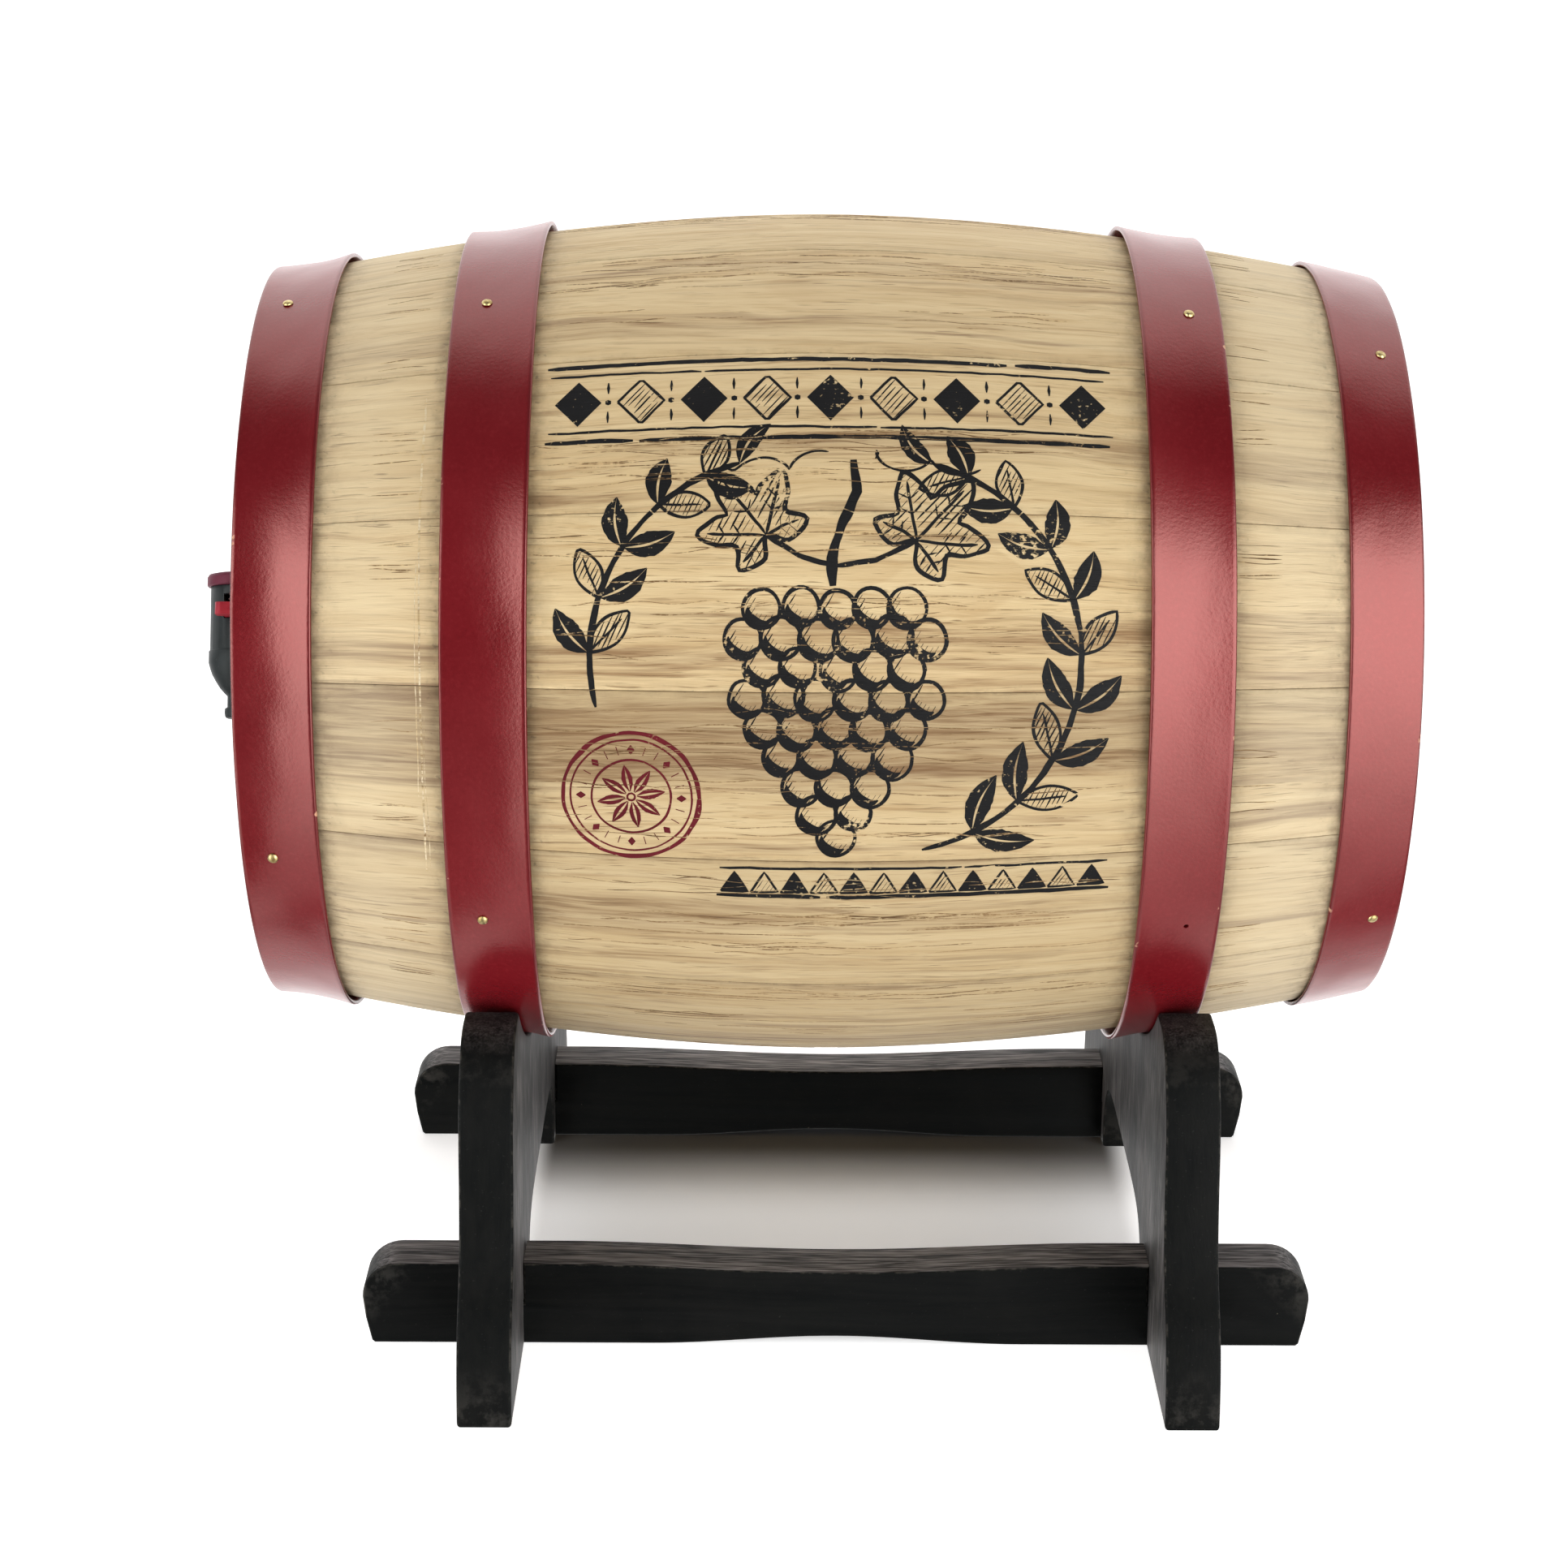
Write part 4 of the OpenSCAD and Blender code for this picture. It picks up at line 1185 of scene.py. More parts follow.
def draw_ornament():
    K = Print(11)
    r = K.rng

    # rules at the head and the foot
    def rule(x0, x1, s, w, breaks=()):
        xs = [x0] + [b for pair in breaks for b in pair] + [x1]
        for a, b in zip(xs[::2], xs[1::2]):
            K.line([(a, s), ((a + b) / 2, s + 0.3), (b, s)], w, taper=0.5, wob=0.22, step=3.0)
    rule(-84, 84, 122.6, 1.5, [(53, 55.5)])
    rule(-83, 82, 118.9, 0.8, [(-38, -37)])
    rule(-83, 84, 98.6, 0.8, [(14, 15)])
    rule(-84, 83, 95.2, 1.4, [(-58, -56)])
    # a row of lozenges, filled and hatched by turns
    n = 9
    for i in range(n):
        cx, cy = -74.5 + i * 18.7, 108.8
        w, h = 6.9, 8.0
        if i % 2 == 0:
            t = np.linspace(0, 1, 9)
            P = np.stack([cx + (t * 2 - 1) * w, np.full(9, cy)], 1)
            W = 2 * h * (1 - np.abs(t * 2 - 1)) + 0.15
            K.ribbon(P, W, cols=4)
        else:
            poly = [(cx - w, cy), (cx, cy - h), (cx + w, cy), (cx, cy + h)]
            poly = dense(poly, 1.5)
            K.line(poly, 0.85, close=True, wob=0.12)
            K.hatch(poly, 52, 1.55, 0.42)
        if i < n - 1:
            K.ribbon([(cx + 8.1, cy), (cx + 8.95, cy), (cx + 9.8, cy)], [1.1, 1.9, 1.1])
            K.line([(cx + 8.95, cy + 3.2), (cx + 8.95, cy + 7.2)], 0.9)
            K.line([(cx + 8.95, cy - 3.2), (cx + 8.95, cy - 7.2)], 0.9)

    # the bunch of grapes in the middle
    gx, gy = 2.0, 44.0
    grapes = []
    rows = [(5, 0.0), (6, -8.8), (5, -17.8), (6, -26.4), (5, -35.6), (4, -44.4), (3, -53.2), (2, -61.6), (1, -69.6)]
    for m, dy in rows:
        for j in range(m):
            grapes.append((gx + (j - (m - 1) / 2) * 10.6 + r.uniform(-0.9, 0.9), gy + dy + r.uniform(-0.8, 0.8), r.uniform(5.2, 5.9)))
    for cx, cy, R in grapes:
        poly = circle(cx, cy, R, 30, 1.06)
        K.line(poly, r.uniform(1.0, 1.3), close=True, wob=0.16, step=1.3)
        K.hatch(circle(cx, cy, R - 0.5, 26, 1.06), 58, 1.35, 0.42, holes=[circle(cx + 1.9, cy + 2.0, R * 0.70, 22)], skip=0.05)
        # the dark crescent
        t = np.linspace(rad(170), rad(305), 9)
        P = np.stack([cx + (R - 1.35) * np.cos(t), cy + (R - 1.35) * 1.06 * np.sin(t)], 1)
        K.ribbon(P, 0.3 + 2.9 * np.sin(np.linspace(0, math.pi, 9)), cols=2)
    # stalk and tendrils
    K.line([(gx - 1, gy + 6), (gx - 1.5, gy + 14), (gx + 1.5, gy + 24), (gx + 6, gy + 34), (gx + 5, gy + 44)], 3.0, taper=0.6)
    tend = []
    for i in range(36):
        a = i / 35 * 4.2 * math.pi
        tend.append((gx + 8 + i * 0.95 + 3.4 * math.cos(a) * (1 - i / 60), gy + 44.5 - i * 0.10 + 3.2 * math.sin(a) * (1 - i / 60)))
    K.line(tend, 0.8, wob=0.1, step=1.0)
    tend = []
    for i in range(36):
        a = i / 35 * 3.6 * math.pi + 1.0
        tend.append((gx - 4 - i * 0.85 + 3.0 * math.cos(a) * (1 - i / 60), gy + 44.0 - i * 0.06 + 3.0 * math.sin(a) * (1 - i / 60)))
    K.line(tend, 0.8, wob=0.1, step=1.0)

    # vine leaves over its shoulders
    for cx, cy, size, rot in ((gx - 22.5, gy + 23.5, 19.5, 38), (gx + 25.5, gy + 22.0, 20.5, -42)):
        poly, tips, root = vine_leaf(cx, cy, size, rot)
        K.line(poly, 1.35, close=True, wob=0.22, step=1.4)
        veins = []
        for t in tips:
            mx, my = (root[0] + t[0]) / 2, (root[1] + t[1]) / 2
            K.line([root, (mx + r.uniform(-0.6, 0.6), my + r.uniform(-0.6, 0.6)), t], 0.95, taper=0.3)
            d = np.array(t) - np.array(root)
            nrm = np.array([-d[1], d[0]]) / np.linalg.norm(d)
            a, b = np.array(root), np.array(t)
            veins.append([tuple(a + nrm * 0.9), tuple(a - nrm * 0.9), tuple(b - nrm * 0.5), tuple(b + nrm * 0.5)])
            for f in (0.45, 0.7):
                m = a + d * f
                for sg in (1, -1):
                    K.line([tuple(m), tuple(m + d * 0.12 + sg * nrm * size * 0.15)], 0.6, taper=0.3)
        K.hatch(poly, 62 if rot > 0 else 48, 1.9, 0.5, holes=veins, skip=0.2)
        K.line([root, ((root[0] + gx) / 2, (root[1] + gy + 12) / 2 - 2), (gx, gy + 12)], 1.6, taper=0.6)

    # two sprays of leaves that curve up beside the bunch
    for sg in (-1, 1):
        stem = []
        for i in range(30):
            a = rad(-78 + i * 5.3)
            stem.append((gx + sg * (14 + 58 * math.cos(a)), 29 + 60 * math.sin(a)))
        first = 12 if sg < 0 else 0
        K.line(stem[first:], 1.8, taper=0.4, step=2.0)
        for i in range(15 if sg < 0 else 3, 29, 3):
            p = np.array(stem[i])
            d = np.array(stem[min(i + 1, 29)]) - np.array(stem[i - 1])
            d /= np.linalg.norm(d)
            nrm = np.array([-d[1], d[0]])
            for side in (1, -1):
                L = 18.5 - 0.18 * i
                out = side * sg
                reach = 0.72 if out > 0 else 0.66
                q = p + d * L * 0.80 + nrm * side * L * reach
                hatched = ((i // 3 + (0 if side > 0 else 1)) % 3 == 0)
                if hatched:
                    t = np.linspace(0, 1, 16)
                    ax = p + np.outer(t, (q - p))
                    dd = (q - p) / np.linalg.norm(q - p)
                    n2 = np.array([-dd[1], dd[0]])
                    w = 3.9 * np.sin(t * math.pi) ** 0.85
                    up = ax + np.outer(w, n2)
                    dn = ax - np.outer(w, n2)
                    poly = [tuple(v) for v in up] + [tuple(v) for v in dn[::-1][1:-1]]
                    K.line(poly, 0.9, close=True, wob=0.12, step=1.3)
                    K.line([tuple(p), tuple(p + (q - p) * 0.8)], 0.7)
                    K.hatch(poly, 65, 1.35, 0.42, skip=0.05)
                else:
                    K.leaf(p + nrm * side * 0.6, q, 7.8, bend=0.08 * side)
        K.leaf(np.array(stem[29]), np.array(stem[29]) + np.array([-sg * 9, 12.5]), 6.2)

    # the foot: rules and a row of hatched points
    rule(-32, 84, -36.3, 0.9, [(40, 41)])
    rule(-33, 85, -46.6, 1.5, [(-2, 0)])
    for i in range(13):
        cx = -27.5 + i * 8.9
        poly = dense([(cx - 4.1, -45.0), (cx + 4.1, -45.0), (cx, -37.6)], 1.4)
        K.line(poly, 0.7, close=True, wob=0.1)
        if i % 2:
            K.hatch(poly, 60, 1.15, 0.38, skip=0.0)
        else:
            t = np.linspace(0, 1, 6)
            K.ribbon(np.stack([np.full(6, cx), -44.8 + t * 6.8], 1), 7.4 * (1 - t) + 0.1, cols=2)
    K.outline_mesh("printed_vine_ornament", INK)

    # the round dark red mark at the foot, left
    E = Print(23)
    ex, ey, R = -58.0, -13.5, 20.2
    E.line(circle(ex, ey, R, 60), 1.25, close=True, wob=0.16, step=1.6, wide=0.35)
    E.line(circle(ex, ey, R - 2.2, 60), 0.6, close=True, wob=0.12, step=1.6)
    E.line(circle(ex, ey, R - 8.4, 48), 0.7, close=True, wob=0.12, step=1.5)
    for i in range(24):
        a = 2 * math.pi * i / 24
        c, s = math.cos(a), math.sin(a)
        m = R - 5.3
        if i % 3 == 0:
            E.ribbon([(ex + (m - 1.4) * c, ey + (m - 1.4) * s), (ex + m * c, ey + m * s), (ex + (m + 1.4) * c, ey + (m + 1.4) * s)], [0.3, 2.3, 0.3])
        else:
            E.line([(ex + (m - 1.3) * c, ey + (m - 1.3) * s), (ex + (m + 1.3) * c, ey + (m + 1.3) * s)], 0.75)
    for i in range(8):
        a = 2 * math.pi * i / 8 + 0.2
        c, s = math.cos(a), math.sin(a)
        E.leaf((ex + 1.8 * c, ey + 1.8 * s), (ex + 10.2 * c, ey + 10.2 * s), 3.3, bend=0.0)
    E.line(circle(ex, ey, 1.2, 16), 0.7, close=True, wob=0.03, step=0.8)
    E.outline_mesh("printed_round_mark", RED_INK)


def draw_grain():
    """Fine dark lines along the grain, and the pale line that a hoop has pressed into the wood."""
    G = Print(5)
    r = G.rng
    for k in range(1, 17):
        mid = JOINT + (k - 1) * STEP + 11.25
        mid = (mid + 180.0) % 360.0 - 180.0
        near = -70 < mid < 100
        for x0, x1 in ((-136.0, -121.5), (-91.0, 88.5), (118.5, 134.0)):
            n = int((x1 - x0) * (0.30 if near else 0.16)) + 2
            # the lines come in a few loose bands in each stave
            bands = [r.uniform(-9.0, 9.0) for _ in range(4)]
            for i in range(n):
                L = min(r.expovariate(1 / 20.0) + 5.0, x1 - x0 - 0.5)
                a = r.uniform(x0, x1 - L)
                d0 = r.choice(bands) + r.gauss(0, 1.1)
                d0 = max(-9.9, min(9.9, d0))
                slope = r.gauss(0, 0.010)
                am, ph, wl = r.uniform(0.0, 0.35), r.uniform(0, 6.3), r.uniform(16, 50)
                pts = []
                m = max(3, int(L / 2.5))
                for j in range(m + 1):
                    x = a + L * j / m
                    d = max(-10.4, min(10.4, d0 + slope * (x - a) + am * math.sin(x / wl * 6.283 + ph)))
                    pts.append((x, (mid + d) * MM_DEG))
                G.line(pts, r.uniform(0.10, 0.34), taper=0.12, wob=0.10, step=2.2, wide=0.5)
    G.outline_mesh("oak_grain_lines", GRAIN_INK)
    C = Print(8)
    for x, w, s0, s1 in ((-120.4, 0.6, -46, 116), (-121.6, 0.25, -20, 60), (-119.2, 0.2, -44, 10)):
        n = 60
        pts = [(x + 0.25 * math.sin(i / 9.0), (s0 + (s1 - s0) * i / n) * 1.0) for i in range(n + 1)]
        C.line(pts, w, taper=0.3, wob=0.12, step=2.0, wide=0.4)
    C.outline_mesh("pressed_line", PALE_INK)


draw_ornament()
draw_grain()


# ---------------------------------------------------------------- heads and door
def strip_outline(R, a, b, cut=0.0, step=2.5):
    """Outline (y, z) of a round head cut to a < y < b. The point count doesn't depend on R."""
    pts = []
    full_a, full_b = a <= -90, b >= 90
    a2, b2 = a + cut, b - cut

    def arc(t0, t1, n):
        return [(R * math.cos(t0 + (t1 - t0) * i / n), R * math.sin(t0 + (t1 - t0) * i / n)) for i in range(n)]

    def chord(y, z0, z1, n):
        return [(y, z0 + (z1 - z0) * i / n) for i in range(n)]
    if full_a:
        t = math.acos(b2 / R)
        pts += arc(t, 2 * math.pi - t, 90)
        z = math.sqrt(R * R - b2 * b2)
        pts += chord(b2, -z, z, 40)
    elif full_b:
        t = math.acos(a2 / R)
        pts += arc(-t, t, 90)
        z = math.sqrt(R * R - a2 * a2)
        pts += chord(a2, z, -z, 40)
    else:
        ta, tb = math.acos(a2 / R), math.acos(b2 / R)
        pts += arc(tb, ta, 34)
        za, zb = math.sqrt(R * R - a2 * a2), math.sqrt(R * R - b2 * b2)
        pts += chord(a2, za, -za, 40)
        pts += arc(2 * math.pi - ta, 2 * math.pi - tb, 34)
        pts += chord(b2, -zb, zb, 40)
    return pts


def cap_fill(V, loops):
    """Triangles that fill the face between the closed loops of vertex numbers."""
    bm = bmesh.new()
    idx = {}
    for loop in loops:
        for i in loop:
            idx[i] = bm.verts.new(V[i])
    back = {v: i for i, v in idx.items()}
    edges = []
    for loop in loops:
        for a, b in zip(loop, loop[1:] + loop[:1]):
            edges.append(bm.edges.new((idx[a], idx[b])))
    bmesh.ops.triangle_fill(bm, use_beauty=True, use_dissolve=False, edges=edges)
    F = [tuple(back[v] for v in f.verts) for f in bm.faces]
    bm.free()
    return F


def wood_attrs(V, along, seed, tone, heart, center=(0, 0, 0), grime_and_shade=None):
    """Grain coordinates for a board whose grain runs along a row axis."""
    P = (np.asarray(V, float) - np.asarray(center, float)) * MM
    order = {"x": (0, 1, 2), "y": (1, 0, 2), "z": (2, 1, 0)}[along]
    G = P[:, order]
    N = len(V)
    return {"gcoord": G, "seed": [seed] * N, "tone": [tone] * N, "heart": [heart] * N,
            "grime_and_shade": grime_and_shade if grime_and_shade is not None else [(0.06, 0.0, 0.0)] * N}


def make_head_board(name, node, a, b, x_out, x_in, R, tongue, hole, body, seed):
    """x_out is the outer face. tongue is (x, R) rows between, or none."""
    s = 1 if x_out > x_in else -1
    e = 0.9
    layers = [(x_out, R - e, e), (x_out - s * 0.12, R - e * 0.45, e * 0.45), (x_out - s * 0.4, R - e * 0.12, e * 0.12), (x_out - s * e, R, 0.0)]
    layers += [(x, r, 0.0) for x, r in tongue]
    layers += [(x_in + s * 0.6, R, 0.0), (x_in + s * 0.15, R - 0.2, 0.2), (x_in, R - 0.6, 0.6)]
    V, E = [], []
    rings = []
    for x, r, cut in layers:
        ring = []
        for y, z in strip_outline(r, a, b, cut):
            ring.append(len(V))
            V.append((x + CX, y, z + AZ))
        rings.append(ring)
    m = len(rings[0])
    F = tube_faces(len(layers), m, caps=False)
    loops0, loops1 = [rings[0]], [rings[-1]]
    if hole:
        hl = [(x_out, hole + 0.8), (x_out - s * 0.25, hole + 0.2), (x_out - s * 0.8, hole), (x_in + s * 0.5, hole), (x_in, hole + 0.4)]
        hr = []
        nh = 48
        for x, r in hl:
            ring = []
            for i in range(nh):
                t = 2 * math.pi * i / nh
                ring.append(len(V))
                V.append((x + CX, r * math.cos(t), r * math.sin(t) + AZ))
            hr.append(ring)
        for p, q in zip(hr, hr[1:]):
            for i in range(nh):
                k = (i + 1) % nh
                F.append((p[i], p[k], q[k], q[i]))
        loops0.append(hr[0])
        loops1.append(hr[-1])
    F += cap_fill(V, loops0)
    F += cap_fill(V, loops1)
    rng = random.Random(int(seed * 10))
    g = []
    for v in V:
        r = math.hypot(v[1], v[2] - AZ)
        near = max(0.0, 1 - (R - r) / 6.0) * 0.5
        g.append((min(1.0, max(near, 0.10)), 0.0, 0.0))
    at = wood_attrs(V, "z", seed, (rng.uniform(-0.1, 0.3), rng.uniform(0.95, 1.0), rng.uniform(0, 0.15)),
                    (rng.uniform(-0.03, 0.03), rng.uniform(0.02, 0.05), rng.uniform(-0.05, 0.05)), (CX + x_out, 0, AZ), g)
    return make(name, V, F, OAK, body, [node], at, smooth=30)


TONGUE = [(-(HEAD_O - 3.8), 106.7), (-(HEAD_O - 3.9), 110.2), (-(HEAD_O - 8.1), 110.2), (-(HEAD_O - 8.2), 106.7)]
make_head_board("front_head_board_left", "front_head_left", -120, -36.05, -HEAD_O, -HEAD_I, 106.7, TONGUE, None, "cask", 21.3)
make_head_board("front_head_board_middle", "front_head_middle", -35.95, 35.95, -HEAD_O, -HEAD_I, 106.7, TONGUE, 14.0, "cask", 22.7)
make_head_board("front_head_board_right", "front_head_right", 36.05, 120, -HEAD_O, -HEAD_I, 106.7, TONGUE, None, "cask", 23.1)
TONGUE_R = [(-x, r) for x, r in TONGUE]
make_head_board("rear_head_board", "rear_head_segment", -120, -63.0, HEAD_O, HEAD_I, 106.7, TONGUE_R, None, "cask", 24.9)
make_head_board("door_plank_hinge", "door_board_hinge", -61.0, -5.05, HEAD_O, HEAD_I, 105.2, [], None, "door", 25.4)
make_head_board("door_plank_middle", "door_board_middle", -4.95, 49.95, HEAD_O, HEAD_I, 105.2, [], None, "door", 26.8)
make_head_board("door_plank_knob", "door_board_knob", 50.05, 120, HEAD_O, HEAD_I, 105.2, [], None, "door", 27.6)


def rounded_box(lo, hi, r=1.0, n=6, axis=0):
    """A box with rounded edges along one axis, and the other edges eased."""
    a = axis
    b, c = [i for i in range(3) if i != a]
    poly = []
    for sx, sy, t0 in ((1, 1, 0), (-1, 1, 90), (-1, -1, 180), (1, -1, 270)):
        cx = (hi[b] - r) if sx > 0 else (lo[b] + r)
        cy = (hi[c] - r) if sy > 0 else (lo[c] + r)
        for i in range(n + 1):
            t = rad(t0 + 90 * i / n)
            poly.append((cx + r * math.cos(t), cy + r * math.sin(t)))

    def to3(u, v, t):
        p = [0, 0, 0]
        p[a], p[b], p[c] = t, u, v
        return tuple(p)
    return slab_board(poly, lo[a], hi[a], min(r, 0.8), to3, seg=3)


for nm, z in (("upper", 46.0), ("lower", -46.0)):
    V, F, E = rounded_box((HEAD_I - 9 + CX, -50, z - 9 + AZ), (HEAD_I + CX, 70, z + 9 + AZ), 1.6, axis=0)
    make(f"door_ledge_{nm}", V, F, OAK, "door", [f"door_batten_{nm}"],
         wood_attrs(V, "y", 31.0 + z / 10, (0.1, 0.98, 0.05), (0.01, 0.03, 0.04), (CX + 150, 0, AZ + z)), smooth=30)


# ---------------------------------------------------------------- stand
SX = CX + 5.0
HORN = [(148, 0), (147.6, 6), (146, 15), (143, 24), (138.5, 32), (132.5, 40), (128, 48), (125, 58), (122.6, 70),
        (121.2, 80), (119, 89), (115.7, 97), (111.3, 104.2), (106.3, 109.4), (100.6, 112.5), (94.5, 113.4)]
ARCH = [(66, 0), (65.2, 10), (62, 19), (56, 25.5), (46, 29), (30, 30.3), (0, 30.3)]


def board_outline(rc):
    right = smooth_poly(HORN, 4)
    y_tip = math.sqrt(rc * rc - (AZ - 113.4) ** 2)
    right.append((y_tip, 113.38))
    a0 = math.asin((113.4 - AZ) / rc)
    arc = []
    n = 40
    for i in range(1, n + 1):
        a = a0 + (-math.pi / 2 - a0) * i / n
        arc.append((rc * math.cos(a), AZ + rc * math.sin(a)))
    right += arc
    left = [(-y, z) for y, z in right[:-1]][::-1]
    out = right + left
    arch = smooth_poly(ARCH, 4)
    la = [(-y, z) for y, z in arch]
    foot = [(-92.15, 0), (-92.15, 14.25), (-73.65, 14.25), (-73.65, 0)]
    out = out + foot + la + arch[::-1][1:] + [(-y, z) for y, z in foot[::-1]]
    return out


def make_cradle(node, name, x0, rc, seed):
    poly = dense(board_outline(rc), 4.0)

    def to3(u, v, t):
        return (t + SX, u, v)
    V, F, E = slab_board(poly, x0, x0 + 17.0, 1.1, to3, seg=4)
    V = np.array(V)
    # a hand-sanded board isn't quite flat or even
    for i, p in enumerate(V):
        V[i][2] += 0.0 if p[2] < 3 else 0.12 * nz(p[1] / 30.0, p[2] / 30.0, seed)
    at = wood_attrs(V, "z", seed, (0, 1, 0), (0, 0, 0), (SX + x0, 0, 60))
    # the broad faces, where the grain is brushed open
    fac = [(1.0 if (abs(p[0] - SX - x0) < 0.02 or abs(p[0] - SX - x0 - 17.0) < 0.02) else 0.0, 0, 0) for p in V]
    for i, p in enumerate(V):
        w = max(0.0, 1.0 - p[2] / 20.0) * 0.38 + (0.12 if p[2] > 100 and p[1] < 0 else 0.0)
        fac[i] = (fac[i][0], w, 1)
    at["face"] = fac
    at["edge"] = E
    return make(name, V, F, STAIN, "stand", [node], at, smooth=30)


make_cradle("cradle_board_front", "stained_cradle_front", -118.0, 132.8, 41.3)
make_cradle("cradle_board_rear", "stained_cradle_rear", 101.0, 131.6, 43.9)


def rail_outline():
    L, H = 306.0, 28.3
    low = [(-60 + i * 5, 1.4 * (1 + math.cos(3 * rad(-60 + i * 5)))) for i in range(25)]
    top = [(90 - i * 7.5, H - 1.3 * (1 + math.cos(2 * rad(90 - i * 7.5)))) for i in range(25)]
    notch = lambda s: [(s * 118.15, H), (s * 118.15, 14.15), (s * 100.85, 14.15), (s * 100.85, H)]
    cr = [(L / 2 - 12 + 12 * math.cos(rad(a)), H - 12 + 12 * math.sin(rad(a))) for a in range(0, 91, 9)]
    cl = [(-x, z) for x, z in cr][::-1]
    end_r = [(L / 2 - 3.5, 0), (L / 2 - 2.6, 0.8), (L / 2 - 0.8, 9.0)]
    end_l = [(-x, z) for x, z in end_r][::-1]
    return low + end_r + cr + notch(1) + top + notch(-1)[::-1] + cl + end_l


def make_rail(node, name, s, seed):
    poly = dense(rail_outline(), 5.0)
    y0, y1 = (s * 92.0, s * 73.8)
    y0, y1 = min(y0, y1), max(y0, y1)

    def to3(u, v, t):
        return (u + SX, t, v)
    V, F, E = slab_board(poly, y0, y1, 0.9, to3, seg=4)
    V = np.array(V)
    at = wood_attrs(V, "x", seed, (0, 1, 0), (0, 0, 0), (SX, y0, 14))
    at["face"] = [(0.0, 0.5 * max(0.0, min(1.0, (abs(p[0] - SX) - 138.0) / 12.0)) * max(0.0, min(1.0, (p[2] - 10.0) / 12.0)), 0) for p in V]
    at["edge"] = E
    return make(name, V, F, STAIN, "stand", [node], at, smooth=30)


make_rail("rail_near", "stained_rail_near", -1, 45.2)
make_rail("rail_far", "stained_rail_far", 1, 47.7)


# ---------------------------------------------------------------- the tap's spring
def make_spring():
    """A coil under the cap; the real one shortens as the lever is pressed, and this one is built at its rest length."""
    n, m, turns, r0, wr, z0, z1 = 150, 10, 4.5, 4.3, 0.45, 7.75, 16.7
    c, s = math.cos(rad(22)), math.sin(rad(22))
    V = []
    for i in range(n + 1):
        t = 2 * math.pi * turns * i / n
        # both end turns lie flat
        u = i / n
        w = (z1 - z0 - 2 * wr) * max(0.0, min(1.0, (u - 0.08) / 0.84))
        zc = z0 + wr + w
        for j in range(m):
            a = 2 * math.pi * j / m
            rr = r0 + wr * math.cos(a)
            x, y, z = rr * math.cos(t), rr * math.sin(t), zc + wr * math.sin(a)
            V.append((CX + TAPX + x, y * c + z * s, AZ - y * s + z * c))
    F = tube_faces(n + 1, m)
    ob = make("coiled_tap_spring", V, F, STEEL, "cask", ["tap_spring"], smooth=50)
    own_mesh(ob)
    return ob


make_spring()


